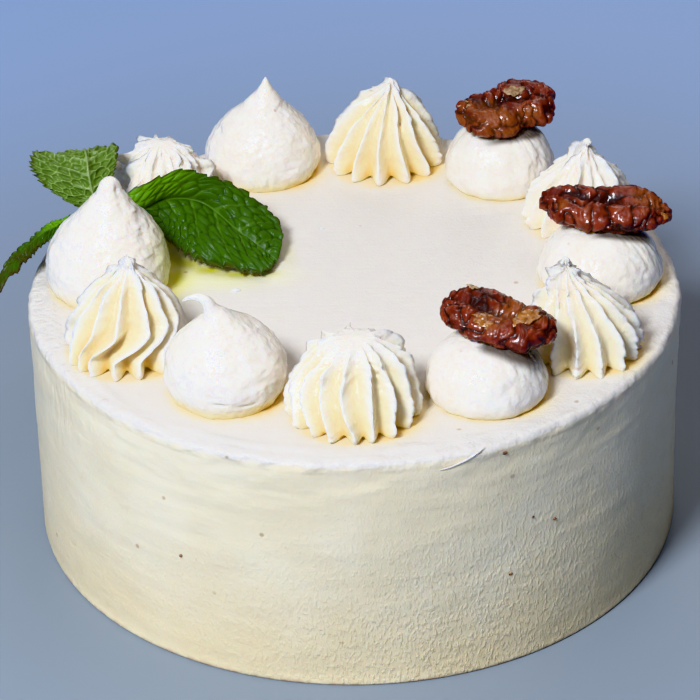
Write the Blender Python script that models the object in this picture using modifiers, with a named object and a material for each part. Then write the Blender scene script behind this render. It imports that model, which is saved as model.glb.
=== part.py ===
"""A whole round banana cake coated in cream, with its piped cream, candied pecans and mint sprig.

Lengths are in millimetres and scaled to metres as each solid is made. The origin is on the
cake's axis at its underside, +Z is up, and -Y is the front.
"""

import math

import bmesh
import bpy
from mathutils import Matrix, Vector

MM = 0.001
GAP = 0.3

CAKE_RADIUS = 90.0
CAKE_HEIGHT = 70.0
CAKE_STEPS = 88
FOOT_ROUNDING = 0.7
SIDE_UNEVENNESS = 0.35

PIPED_FOOT = CAKE_HEIGHT + GAP
STEPS_PER_RIDGE = 4

PECAN_THICKNESS = 7.2
PECAN_GROOVE = 2.4
PECAN_BLUNTNESS = 4.0

LEAF_THICKNESS = 0.6
LEAF_ROWS = 12
LEAF_COLUMNS = 6
STEM_RADIUS = 0.9

# Outer edges as (radius, height), from the tip down the outside to the foot.
CAKE_EDGE = (
    (0.0, 70.0),
    (52.0, 70.0),
    (86.8, 70.0),
    (88.6, 69.5),
    (89.6, 68.5),
    (90.0, 67.0),
    (90.0, 45.0),
    (90.0, 22.0),
    (90.0, FOOT_ROUNDING),
    (90.0 - FOOT_ROUNDING, 0.0),
    (0.0, 0.0),
)
TALL_KISS = (
    (0.0, 1.0),
    (0.08, 0.91),
    (0.225, 0.79),
    (0.43, 0.66),
    (0.65, 0.54),
    (0.83, 0.41),
    (0.965, 0.26),
    (1.0, 0.16),
    (0.965, 0.05),
    (0.9, 0.0),
    (0.0, 0.0),
)
ROUND_KISS = (
    (0.0, 1.0),
    (0.12, 0.97),
    (0.19, 0.9),
    (0.32, 0.8),
    (0.5, 0.67),
    (0.73, 0.53),
    (0.9, 0.4),
    (1.0, 0.2),
    (0.97, 0.06),
    (0.9, 0.0),
    (0.0, 0.0),
)
CURLED_KISS = (
    (0.0, 1.0),
    (0.055, 0.9),
    (0.09, 0.8),
    (0.13, 0.7),
    (0.2, 0.65),
    (0.38, 0.6),
    (0.64, 0.505),
    (0.85, 0.4),
    (1.0, 0.22),
    (0.97, 0.08),
    (0.89, 0.0),
    (0.0, 0.0),
)
MOUND = (
    (0.0, 1.0),
    (0.25, 0.99),
    (0.5, 0.93),
    (0.7, 0.81),
    (0.86, 0.63),
    (0.96, 0.42),
    (1.0, 0.24),
    (0.96, 0.08),
    (0.89, 0.0),
    (0.0, 0.0),
)
POINTED_ROSETTE = (
    (0.0, 1.0),
    (0.08, 0.93),
    (0.2, 0.85),
    (0.43, 0.73),
    (0.65, 0.59),
    (0.84, 0.42),
    (0.97, 0.24),
    (1.0, 0.1),
    (0.93, 0.0),
    (0.0, 0.0),
)
BALL_TIPPED_ROSETTE = (
    (0.0, 1.0),
    (0.075, 0.965),
    (0.06, 0.9),
    (0.2, 0.82),
    (0.42, 0.7),
    (0.68, 0.56),
    (0.88, 0.38),
    (0.98, 0.2),
    (1.0, 0.09),
    (0.93, 0.0),
    (0.0, 0.0),
)
FLAT_ROSETTE = (
    (0.0, 1.0),
    (0.2, 0.975),
    (0.42, 0.9),
    (0.64, 0.77),
    (0.83, 0.58),
    (0.95, 0.38),
    (1.0, 0.2),
    (0.98, 0.07),
    (0.92, 0.0),
    (0.0, 0.0),
)

# Each smooth piece: name, centre (x, y), radius, height, outer edge, lean of the tip (x, y).
KISSES = (
    ("kiss_back", (-26.1, 67.9), 16.8, 29.8, TALL_KISS, (1.6, 0.0)),
    ("kiss_left", (-67.6, 2.3), 17.2, 33.6, ROUND_KISS, (1.8, 0.0)),
    ("kiss_front", (-34.0, -53.2), 16.2, 34.8, CURLED_KISS, (-4.0, 0.5)),
)
CURL_START = 23.6
CURL_BEND = 4.2
CURL_TURN = math.radians(100.0)

# Each pecan and the mound under it: names, mound centre, radius, height, pecan centre,
# length and width, turn about the upright, slope of the long axis, slope across it (degrees).
PECANS = (
    ("mound_back", "pecan_back", (43.0, 59.1), 15.9, 17.2, (45.0, 60.6, 91.6), (29.6, 18.6), 24.0, -2.0, 17.0),
    ("mound_right", "pecan_right", (67.8, 0.0), 17.2, 16.8, (69.4, 2.6, 90.6), (35.6, 16.6), -4.0, 3.0, 8.0),
    ("mound_front", "pecan_front", (33.8, -55.9), 16.2, 16.2, (37.0, -52.6, 89.2), (32.6, 17.0), -26.0, 5.0, 6.0),
)

# Each rosette: name, centre, radius, height, outer edge, ridge depth, lean of the tip, and
# the shares of its height between which the ridges swing from their foot to their upper line.
ROSETTES = (
    ("rosette_back", (9.6, 71.0), 17.5, 27.2, POINTED_ROSETTE, 0.27, (2.2, 0.0), (0.0, 0.6)),
    ("rosette_right_back", (64.3, 33.9), 16.5, 25.7, BALL_TIPPED_ROSETTE, 0.26, (1.9, 0.0), (0.0, 0.6)),
    ("rosette_right_front", (60.3, -36.5), 16.3, 27.8, POINTED_ROSETTE, 0.25, (-5.0, 1.0), (0.0, 0.7)),
    ("rosette_front", (-0.7, -63.7), 18.3, 21.8, FLAT_ROSETTE, 0.25, (0.9, 1.0), (0.05, 0.65)),
    ("rosette_left", (-61.0, -32.3), 17.4, 28.8, POINTED_ROSETTE, 0.32, (1.6, 0.5), (0.17, 0.43)),
    ("rosette_left_back", (-54.5, 44.0), 15.5, 21.6, FLAT_ROSETTE, 0.25, (0.5, 0.5), (0.1, 0.6)),
)
# Bearings of each rosette's ridges in degrees: first at the foot, then higher up.
RIDGE_BEARINGS = {
    "rosette_back": (
        (-149, -124, -95, -66, -39, -13, 14, 42, 68, 96, 124, 152, 181),
        (-142, -118, -98, -75, -52, -26, 4, 34, 62, 92, 122, 152, 184),
    ),
    "rosette_right_back": (
        tuple(-160 + 24 * k for k in range(15)),
        tuple(-152 + 24 * k for k in range(15)),
    ),
    "rosette_right_front": (
        (-124, -99, -74, -49, -24, -2, 22, 48, 74, 100, 128, 156, 184, 210),
        (-128, -101, -75, -50, -26, -8, 20, 46, 74, 100, 128, 156, 184, 208),
    ),
    "rosette_front": (
        (-148, -129, -111, -89, -74, -54, -33, -12, 16, 44, 74, 104, 134, 164, 190),
        (-176, -154, -127, -104, -74, -47, -24, 2, 26, 50, 76, 102, 128, 152, 168),
    ),
    "rosette_left": (
        (-150, -136, -122, -99, -76, -50, -22, 6, 34, 64, 96, 130, 172),
        (-153, -125, -97, -61, -36, -12, 17, 44, 72, 100, 128, 155, 181),
    ),
    "rosette_left_back": (
        tuple(-150 + 25.7 * k for k in range(14)),
        tuple(-136 + 25.7 * k for k in range(14)),
    ),
}
NARROW_RIDGE = 26.0

# Each leaf: front edge, midrib and back edge from base to tip, then how far each half bulges.
LEAF_OVER_TOP = (
    (
        (-66.9, 19.2, 83.0),
        (-59.7, 22.3, 79.5),
        (-51.8, 18.1, 76.2),
        (-45.5, 10.7, 73.6),
        (-33.7, 3.8, 72.2),
        (-24.9, 3.4, 71.8),
        (-21.4, 10.2, 71.6),
    ),
    (
        (-66.9, 20.0, 83.5),
        (-59.9, 20.0, 83.0),
        (-52.4, 27.3, 82.6),
        (-42.2, 28.6, 80.4),
        (-32.2, 18.9, 76.6),
        (-25.5, 13.8, 73.6),
        (-21.4, 10.4, 71.8),
    ),
    (
        (-66.9, 20.9, 84.6),
        (-60.2, 21.8, 90.0),
        (-49.2, 27.9, 91.8),
        (-39.4, 30.9, 87.4),
        (-26.7, 30.5, 79.6),
        (-20.3, 22.7, 74.2),
        (-20.8, 11.2, 72.0),
    ),
    1.6,
    1.2,
)
LEAF_STANDING = (
    (
        (-71.1, 23.0, 81.2),
        (-78.0, 23.4, 83.1),
        (-84.6, 25.0, 86.8),
        (-89.8, 27.5, 91.3),
        (-90.4, 30.5, 94.1),
        (-88.9, 34.0, 95.4),
        (-82.9, 43.0, 88.8),
        (-77.0, 46.0, 86.4),
    ),
    (
        (-71.1, 23.2, 81.4),
        (-72.1, 24.0, 83.9),
        (-72.8, 25.2, 87.1),
        (-73.6, 27.0, 90.9),
        (-74.1, 30.0, 93.7),
        (-75.0, 35.0, 94.2),
        (-75.8, 41.0, 90.7),
        (-76.7, 46.0, 86.4),
    ),
    (
        (-71.1, 23.2, 81.8),
        (-69.0, 24.0, 84.5),
        (-67.5, 25.5, 87.5),
        (-66.1, 28.0, 91.1),
        (-65.5, 31.0, 94.3),
        (-65.6, 35.5, 96.0),
        (-70.0, 43.0, 90.5),
        (-76.1, 46.0, 86.7),
    ),
    0.8,
    0.8,
)
LEAF_OVER_RIM = (
    (
        (-78.1, 16.0, 83.4),
        (-81.9, 12.5, 80.1),
        (-85.1, 10.0, 79.7),
        (-88.2, 6.5, 78.9),
        (-90.3, 3.0, 77.5),
        (-94.4, -1.5, 76.0),
        (-99.3, -7.0, 70.8),
    ),
    (
        (-78.3, 18.0, 82.6),
        (-82.1, 15.5, 81.6),
        (-85.3, 13.5, 81.2),
        (-88.8, 10.5, 79.8),
        (-92.2, 7.0, 77.7),
        (-95.3, 2.5, 75.6),
        (-99.7, -6.0, 69.9),
    ),
    (
        (-78.3, 19.0, 82.4),
        (-82.3, 19.0, 80.9),
        (-85.7, 18.0, 79.9),
        (-89.6, 15.5, 77.2),
        (-93.9, 12.0, 74.9),
        (-96.5, 7.0, 72.7),
        (-100.2, -5.0, 69.0),
    ),
    0.7,
    0.9,
)
LEAVES = (
    ("mint_leaf_over_top", LEAF_OVER_TOP),
    ("mint_leaf_standing", LEAF_STANDING),
    ("mint_leaf_over_rim", LEAF_OVER_RIM),
)
STEM_PATH = (
    (-55.2, 26.2, 75.4),
    (-59.0, 24.6, 79.0),
    (-64.6, 22.6, 82.2),
    (-70.6, 21.0, 83.4),
    (-76.6, 18.8, 83.2),
)


def clear_scene():
    for item in list(bpy.data.objects):
        bpy.data.objects.remove(item)


def make_collection(name):
    group = bpy.data.collections.new(name)
    bpy.context.scene.collection.children.link(group)
    return group


def make_material(name, colour, roughness, coat=0.0):
    material = bpy.data.materials.new(name)
    material.use_nodes = True
    shader = material.node_tree.nodes["Principled BSDF"]
    shader.inputs["Base Color"].default_value = (*colour, 1.0)
    shader.inputs["Roughness"].default_value = roughness
    shader.inputs["Coat Weight"].default_value = coat
    return material


def add_object(name, mesh, material, group):
    item = bpy.data.objects.new(name, mesh)
    item.data.materials.append(material)
    group.objects.link(item)
    return item


def apply_modifiers(item):
    """Replace the object's mesh by the one its modifiers give."""
    bpy.context.view_layer.update()
    graph = bpy.context.evaluated_depsgraph_get()
    solid = bpy.data.meshes.new_from_object(item.evaluated_get(graph))
    item.modifiers.clear()
    item.data = solid


def turned(name, edge, radius, height, steps, material, group):
    """Turn an outer edge about the upright axis into a closed solid."""
    mesh = bpy.data.meshes.new(name)
    points = [(r * radius * MM, 0.0, z * height * MM) for r, z in edge]
    links = [(i, i + 1) for i in range(len(points) - 1)]
    mesh.from_pydata(points, links, [])
    item = add_object(name, mesh, material, group)
    screw = item.modifiers.new("turn", "SCREW")
    screw.axis = "Z"
    screw.steps = steps
    screw.render_steps = steps
    screw.use_merge_vertices = True
    screw.merge_threshold = 0.00001
    screw.use_normal_calculate = True
    apply_modifiers(item)
    return item


def move_points(item, mover):
    """Move every vertex by a function of its place in millimetres."""
    for vertex in item.data.vertices:
        place = mover(vertex.co / MM)
        vertex.co = place * MM


def smooth_step(low, high, value):
    t = (value - low) / (high - low)
    t = min(max(t, 0.0), 1.0)
    return t * t * (3.0 - 2.0 * t)


def cake_unevenness(place):
    """Hand-spread coating: the upright side swells in and out a little."""
    radius = math.hypot(place.x, place.y)
    if radius < CAKE_RADIUS - 2.0:
        return place
    angle = math.atan2(place.y, place.x)
    swell = math.sin(3.0 * angle + place.z * 0.05) + 0.6 * math.sin(7.0 * angle - place.z * 0.09)
    factor = 1.0 - SIDE_UNEVENNESS * (0.9 + 0.5 * swell) / CAKE_RADIUS
    return Vector((place.x * factor, place.y * factor, place.z))


def leaned(place, height, lean):
    """Shift the upper part sideways so that the tip leans."""
    share = smooth_step(0.25, 1.0, place.z / height)
    return Vector((place.x + lean[0] * share, place.y + lean[1] * share, place.z))


def curled(place):
    """Bend the neck above CURL_START over towards -X, then let its end run straight."""
    rise = place.z - CURL_START
    if rise <= 0.0:
        return place
    angle = min(rise / CURL_BEND, CURL_TURN)
    straight = rise - angle * CURL_BEND
    reach = CURL_BEND + place.x
    x = reach * math.cos(angle) - CURL_BEND - straight * math.sin(angle)
    z = CURL_START + reach * math.sin(angle) + straight * math.cos(angle)
    return Vector((x, place.y, z))


def star_ridges(place, height, depth, swing, bearings):
    """Star-tip ridges: bring each step to its ridge's bearing and push the valleys in."""
    foot, upper = bearings
    count = len(foot)
    radius = math.hypot(place.x, place.y)
    share = min(max(place.z / height, 0.0), 1.0)
    turn = math.atan2(place.y, place.x) / (2.0 * math.pi) % 1.0
    step = round(turn * count * STEPS_PER_RIDGE) % (count * STEPS_PER_RIDGE)
    here = step // STEPS_PER_RIDGE
    part = step / STEPS_PER_RIDGE - here
    ahead = (here + 1) % count
    full_turn = 360.0 if ahead == 0 else 0.0
    climb = smooth_step(swing[0], swing[1], share)
    start = foot[here] + (upper[here] - foot[here]) * climb
    end = foot[ahead] + (upper[ahead] - foot[ahead]) * climb + full_turn
    valley = math.sin(math.pi * part) ** 0.6
    width = min(max((end - start) / NARROW_RIDGE, 0.55), 1.35)
    radius *= 1.0 - depth * width * valley * smooth_step(0.0, 0.14, 1.0 - share)
    angle = math.radians(start + (end - start) * part)
    return Vector((radius * math.cos(angle), radius * math.sin(angle), place.z))


def set_on_top(item, centre):
    item.location = (centre[0] * MM, centre[1] * MM, PIPED_FOOT * MM)
    bpy.context.view_layer.update()
    item.data.transform(item.matrix_world)
    item.location = (0.0, 0.0, 0.0)


def make_cake(material, group):
    item = turned("cake_body", CAKE_EDGE, 1.0, 1.0, CAKE_STEPS, material, group)
    move_points(item, cake_unevenness)
    return item


def make_kiss(row, material, group):
    name, centre, radius, height, edge, lean = row
    item = turned(name, edge, radius, height, 24, material, group)
    if name == "kiss_front":
        move_points(item, curled)
    move_points(item, lambda place: leaned(place, height, lean))
    set_on_top(item, centre)
    return item


def make_rosette(row, material, group):
    name, centre, radius, height, edge, depth, lean, swing = row
    bearings = RIDGE_BEARINGS[name]
    steps = len(bearings[0]) * STEPS_PER_RIDGE
    item = turned(name, edge, radius, height, steps, material, group)
    move_points(item, lambda place: star_ridges(place, height, depth, swing, bearings))
    move_points(item, lambda place: leaned(place, height, lean))
    set_on_top(item, centre)
    return item


def pecan_frame(centre, turn, slope, roll):
    turning = Matrix.Rotation(math.radians(turn), 4, "Z")
    sloping = Matrix.Rotation(math.radians(slope), 4, "Y")
    rolling = Matrix.Rotation(math.radians(roll), 4, "X")
    return Matrix.Translation(Vector(centre)) @ turning @ sloping @ rolling


def pecan_point(unit, size):
    """Half kernel: a long blunt oval with a groove along the top and lobes round its rim."""
    along, across, up = unit
    ends = math.sqrt((1.0 - abs(along) ** PECAN_BLUNTNESS + 1e-6) / (1.0 - along * along + 1e-6))
    across = across * ends
    up = up * ends
    lobes = math.cos(10.0 * along + math.copysign(0.8, across)) * min(abs(across) * 1.6, 1.0)
    x = 0.5 * size[0] * along
    y = 0.5 * size[1] * across * (1.0 + 0.06 * lobes) * (1.0 - 0.08 * along)
    z = 0.5 * PECAN_THICKNESS * up * (1.0 + 0.16 * lobes)
    if up > 0.0:
        z -= PECAN_GROOVE * up * math.exp(-((across / 0.26) ** 2)) * (1.0 - along * along)
    return Vector((x, y, z))


def make_pecan(name, size, frame, material, group):
    shape = bmesh.new()
    bmesh.ops.create_uvsphere(shape, u_segments=22, v_segments=12, radius=1.0)
    lie_down = Matrix.Rotation(math.radians(90.0), 4, "Y")
    bmesh.ops.transform(shape, matrix=lie_down, verts=shape.verts)
    for vertex in shape.verts:
        vertex.co = (frame @ pecan_point(vertex.co, size)) * MM
    mesh = bpy.data.meshes.new(name)
    shape.to_mesh(mesh)
    shape.free()
    return add_object(name, mesh, material, group)


def pressed(place, frame, inverse):
    """Keep the cream below the plane on which the pecan is pressed in."""
    local = inverse @ place
    ceiling = -0.5 * PECAN_THICKNESS * 1.2 - GAP
    if local.z <= ceiling:
        return place
    local.z = ceiling
    return frame @ local


def make_mound_with_pecan(row, cream, nut, group):
    mound_name, pecan_name, centre, radius, height, nut_centre, size, turn, slope, roll = row
    frame = pecan_frame(nut_centre, turn, slope, roll)
    inverse = frame.inverted()
    mound = turned(mound_name, MOUND, radius, height, 24, cream, group)
    set_on_top(mound, centre)
    move_points(mound, lambda place: pressed(place, frame, inverse))
    pecan = make_pecan(pecan_name, size, frame, nut, group)
    return mound, pecan


def along_curve(points, share):
    """Catmull-Rom curve through the points, share running from 0 to 1."""
    spans = len(points) - 1
    index = min(int(share * spans), spans - 1)
    t = share * spans - index
    here = Vector(points[index])
    ahead = Vector(points[index + 1])
    before = Vector(points[index - 1]) if index > 0 else here * 2.0 - ahead
    after = Vector(points[index + 2]) if index + 2 <= spans else ahead * 2.0 - here
    term1 = (ahead - before) * t
    term2 = (before * 2.0 - here * 5.0 + ahead * 4.0 - after) * t * t
    term3 = (here * 3.0 - before - ahead * 3.0 + after) * t * t * t
    return (here * 2.0 + term1 + term2 + term3) * 0.5


def leaf_point(rails, share, across):
    front, midrib, back, front_bulge, back_bulge = rails
    spine = along_curve(midrib, share)
    edge = along_curve(front if across < 0.0 else back, share)
    ahead = along_curve(midrib, min(share + 0.02, 1.0))
    behind = along_curve(midrib, max(share - 0.02, 0.0))
    normal = (ahead - behind).cross(edge - spine)
    if across < 0.0:
        normal.negate()
    normal.normalize()
    part = abs(across)
    bulge = front_bulge if across < 0.0 else back_bulge
    crest = 4.0 * part * (1.0 - part) * bulge * math.sin(math.pi * min(share * 1.1, 1.0))
    return spine.lerp(edge, part) + normal * crest


def make_leaf(name, rails, material, group):
    shape = bmesh.new()
    rows = []
    for i in range(LEAF_ROWS + 1):
        row = []
        for j in range(LEAF_COLUMNS + 1):
            across = 2.0 * j / LEAF_COLUMNS - 1.0
            place = leaf_point(rails, i / LEAF_ROWS, across)
            row.append(shape.verts.new(place * MM))
        rows.append(row)
    for i in range(LEAF_ROWS):
        for j in range(LEAF_COLUMNS):
            a = rows[i][j]
            b = rows[i][j + 1]
            c = rows[i + 1][j + 1]
            d = rows[i + 1][j]
            shape.faces.new((a, b, c))
            shape.faces.new((a, c, d))
    mesh = bpy.data.meshes.new(name)
    shape.to_mesh(mesh)
    shape.free()
    item = add_object(name, mesh, material, group)
    shell = item.modifiers.new("thickness", "SOLIDIFY")
    shell.thickness = LEAF_THICKNESS * MM
    shell.offset = 0.0
    shell.use_even_offset = False
    return item


def make_stem(material, group):
    curve = bpy.data.curves.new("mint_stem", "CURVE")
    curve.dimensions = "3D"
    curve.bevel_depth = STEM_RADIUS * MM
    curve.bevel_resolution = 1
    curve.use_fill_caps = True
    line = curve.splines.new("POLY")
    line.points.add(len(STEM_PATH) - 1)
    for point, place in zip(line.points, STEM_PATH):
        point.co = (place[0] * MM, place[1] * MM, place[2] * MM, 1.0)
    item = bpy.data.objects.new("mint_stem", curve)
    item.data.materials.append(material)
    group.objects.link(item)
    return item


def build():
    clear_scene()
    group = make_collection("banana_cake")
    coat = make_material("cream_coat", (0.80, 0.74, 0.62), 0.55)
    piped = make_material("piped_cream", (0.86, 0.82, 0.72), 0.5)
    nut = make_material("candied_pecan", (0.16, 0.035, 0.012), 0.25, 0.8)
    leaf = make_material("mint_leaf", (0.05, 0.15, 0.02), 0.45)
    stem = make_material("mint_stem", (0.16, 0.12, 0.04), 0.5)
    make_cake(coat, group)
    for row in KISSES:
        make_kiss(row, piped, group)
    for row in ROSETTES:
        make_rosette(row, piped, group)
    for row in PECANS:
        make_mound_with_pecan(row, piped, nut, group)
    for name, rails in LEAVES:
        make_leaf(name, rails, leaf, group)
    make_stem(stem, group)


build()
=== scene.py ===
"""Looks of a round cream-coated banana cake with piped cream, candied pecans and fresh mint."""

import math

import bpy
import numpy as np
from mathutils import Matrix, Vector


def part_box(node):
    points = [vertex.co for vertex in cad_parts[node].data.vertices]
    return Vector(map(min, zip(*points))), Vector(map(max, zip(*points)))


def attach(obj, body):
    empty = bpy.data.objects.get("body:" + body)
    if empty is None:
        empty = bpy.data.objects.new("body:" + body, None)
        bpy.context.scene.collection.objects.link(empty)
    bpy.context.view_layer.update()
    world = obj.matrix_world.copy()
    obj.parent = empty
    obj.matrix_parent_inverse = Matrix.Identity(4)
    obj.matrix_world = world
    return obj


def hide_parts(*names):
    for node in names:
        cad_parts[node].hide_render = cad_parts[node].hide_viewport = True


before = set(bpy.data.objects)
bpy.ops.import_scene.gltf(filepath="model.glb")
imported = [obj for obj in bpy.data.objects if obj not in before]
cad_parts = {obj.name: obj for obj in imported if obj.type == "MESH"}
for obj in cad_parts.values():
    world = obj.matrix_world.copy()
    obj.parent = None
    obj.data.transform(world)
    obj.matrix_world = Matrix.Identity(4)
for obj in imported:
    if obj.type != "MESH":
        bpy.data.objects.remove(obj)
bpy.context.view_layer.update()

MM = 0.001
GAP = 0.3

# ---------------------------------------------------------------- camera, light and floor

# Places and distances are in metres, angles in degrees, lens and film in millimetres.
CAMERA_PLACE = (0.0, -0.765, 0.5231)
CAMERA_PITCH = 31.82
CAMERA_YAW = -0.116
CAMERA_ROLL = -1.171
CAMERA_LENS = 165.8
FILM_WIDTH = 36.0

KEY_AZIMUTH = -30.0
KEY_HEIGHT = 46.0
KEY_DISTANCE = 1.1
KEY_SIZE = 0.30
KEY_POWER = 15.6
KEY_COLOUR = (0.90, 0.955, 1.05)
# Soft lights as name, azimuth, height, distance, size, power and colour.
FILL_LIGHTS = (("left_fill", -80.0, 25.0, 1.2, 0.6, 0.35, (0.62, 0.74, 1.0)),
               ("upper_fill", 100.0, 78.0, 1.3, 0.9, 3.7, (1.0, 0.93, 0.97)),
               ("back_fill", 168.0, 34.0, 1.6, 1.0, 4.6, (1.0, 0.97, 0.95)))
SKY_COLOUR = (0.66, 0.66, 0.78)
SKY_STRENGTH = 0.045
LIGHT_AIM = (0.0, 0.0, 0.06)
FLOOR_SIZE = 6.0

# ---------------------------------------------------------------- numbers that vary smoothly


def lattice_values(cells, seed):
    """A repeatable value from -1 to 1 for each whole-numbered cell."""
    x = cells[..., 0].astype(np.int64)
    y = cells[..., 1].astype(np.int64)
    z = cells[..., 2].astype(np.int64)
    mixed = (x * 374761393 + y * 668265263 + z * 2147483647 + seed * 974711) & 0xFFFFFFFF
    mixed = ((mixed ^ (mixed >> 13)) * 1274126177) & 0xFFFFFFFF
    mixed = ((mixed ^ (mixed >> 16)) * 2246822519) & 0xFFFFFFFF
    mixed = mixed ^ (mixed >> 15)
    return mixed / 2147483647.5 - 1.0


def smooth_noise(points, size, seed=0):
    """Value noise with features of the given size in millimetres."""
    scaled = np.asarray(points, dtype=float) / size
    base = np.floor(scaled)
    part = scaled - base
    part = part * part * (3.0 - 2.0 * part)
    total = np.zeros(scaled.shape[:-1])
    for corner in range(8):
        offset = np.array([corner & 1, (corner >> 1) & 1, (corner >> 2) & 1])
        weight = np.prod(np.where(offset == 1, part, 1.0 - part), axis=-1)
        total += weight * lattice_values(base + offset, seed)
    return total


def layered_noise(points, size, seed=0, layers=3):
    """Several sizes of noise together, each half as large and half as strong."""
    total = 0.0
    strength = 1.0
    for layer in range(layers):
        total = total + strength * smooth_noise(points, size / 2.0 ** layer, seed + 17 * layer)
        strength *= 0.5
    return total


def smooth_step(low, high, value):
    t = np.clip((value - low) / (high - low), 0.0, 1.0)
    return t * t * (3.0 - 2.0 * t)


def bump_at(value, centre, width):
    return np.exp(-(((value - centre) / width) ** 2))


def unit(vectors):
    return vectors / np.maximum(np.linalg.norm(vectors, axis=-1, keepdims=True), 1e-9)


def curve_through(points, shares):
    """Catmull-Rom curve through the points, at shares running from 0 to 1."""
    knots = np.asarray(points, dtype=float)
    knots = np.concatenate([[2.0 * knots[0] - knots[1]], knots, [2.0 * knots[-1] - knots[-2]]])
    spans = len(points) - 1
    place = np.clip(np.asarray(shares, dtype=float), 0.0, 1.0) * spans
    index = np.minimum(place.astype(int), spans - 1)
    t = (place - index)[..., None]
    before, here, ahead, after = (knots[index + k] for k in range(4))
    bend = 2.0 * before - 5.0 * here + 4.0 * ahead - after
    turn = 3.0 * here - before - 3.0 * ahead + after
    return 0.5 * (2.0 * here + (ahead - before) * t + bend * t * t + turn * t * t * t)


# ---------------------------------------------------------------- meshes from rows of points


def mesh_from(name, points, faces, attributes=None):
    mesh = bpy.data.meshes.new(name)
    mesh.from_pydata((np.asarray(points) * MM).tolist(), [], faces)
    for key, values in (attributes or {}).items():
        layer = mesh.attributes.new(key, "FLOAT", "POINT")
        layer.data.foreach_set("value", np.asarray(values, dtype=np.float32).ravel())
    mesh.shade_smooth()
    mesh.update()
    return mesh


def ring_faces(rows, columns):
    """Quads between closed rings, with a fan to a first and a last single point."""
    faces = []
    last = 1 + rows * columns
    for j in range(columns):
        k = (j + 1) % columns
        faces.append((0, 1 + j, 1 + k))
        faces.append((last, last - columns + k, last - columns + j))
    for i in range(rows - 1):
        start = 1 + i * columns
        for j in range(columns):
            k = (j + 1) % columns
            faces.append((start + j, start + columns + j, start + columns + k, start + k))
    return faces


def closed_rings(name, rings, attributes=None):
    """A closed mesh from rings of points that run from the tip down to the underside."""
    rows, columns = rings.shape[:2]
    ends = rings[0].mean(axis=0)[None], rings[-1].mean(axis=0)[None]
    points = np.concatenate([ends[0], rings.reshape(-1, 3), ends[1]])
    spread = {}
    for key, values in (attributes or {}).items():
        spread[key] = np.concatenate([[values[0].mean()], values.ravel(), [values[-1].mean()]])
    return mesh_from(name, points, ring_faces(rows, columns), spread)


def add_piece(name, mesh, finishes, slot, *nodes):
    """Put a mesh in the scene as a piece that rides on the cake and stands for its CAD solids."""
    piece = bpy.data.objects.new(name, mesh)
    for finish in finishes:
        mesh.materials.append(finish)
    bpy.context.scene.collection.objects.link(piece)
    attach(piece, "root")
    if nodes:
        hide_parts(*nodes)
    return piece


# ---------------------------------------------------------------- shader arithmetic


class Field:
    """A shader socket that takes part in arithmetic."""

    def __init__(self, finish, socket):
        self.finish = finish
        self.socket = socket

    def _is_number(self):
        return self.socket.type in {"VALUE", "INT"}

    def _join(self, operation, first, second=None):
        if isinstance(second, Field) and not second._is_number() or not self._is_number():
            return self.finish.node("ShaderNodeVectorMath", {"operation": operation}, {0: first, 1: second})
        return self.finish.node("ShaderNodeMath", {"operation": operation}, {0: first, 1: second})

    def __add__(self, other):
        return self._join("ADD", self, other)

    def __radd__(self, other):
        return self._join("ADD", other, self)

    def __sub__(self, other):
        return self._join("SUBTRACT", self, other)

    def __rsub__(self, other):
        return self._join("SUBTRACT", other, self)

    def __mul__(self, other):
        return self._join("MULTIPLY", self, other)

    def __rmul__(self, other):
        return self._join("MULTIPLY", other, self)

    def __pow__(self, other):
        return self._join("POWER", self, other)

    def __rpow__(self, other):
        return self._join("POWER", other, self)

    def between(self, low, high):
        """0 below low, 1 above high and smooth from one to the other."""
        return self.finish.node("ShaderNodeMapRange", {"interpolation_type": "SMOOTHSTEP"},
                                {"Value": self, "From Min": low, "From Max": high})


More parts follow.
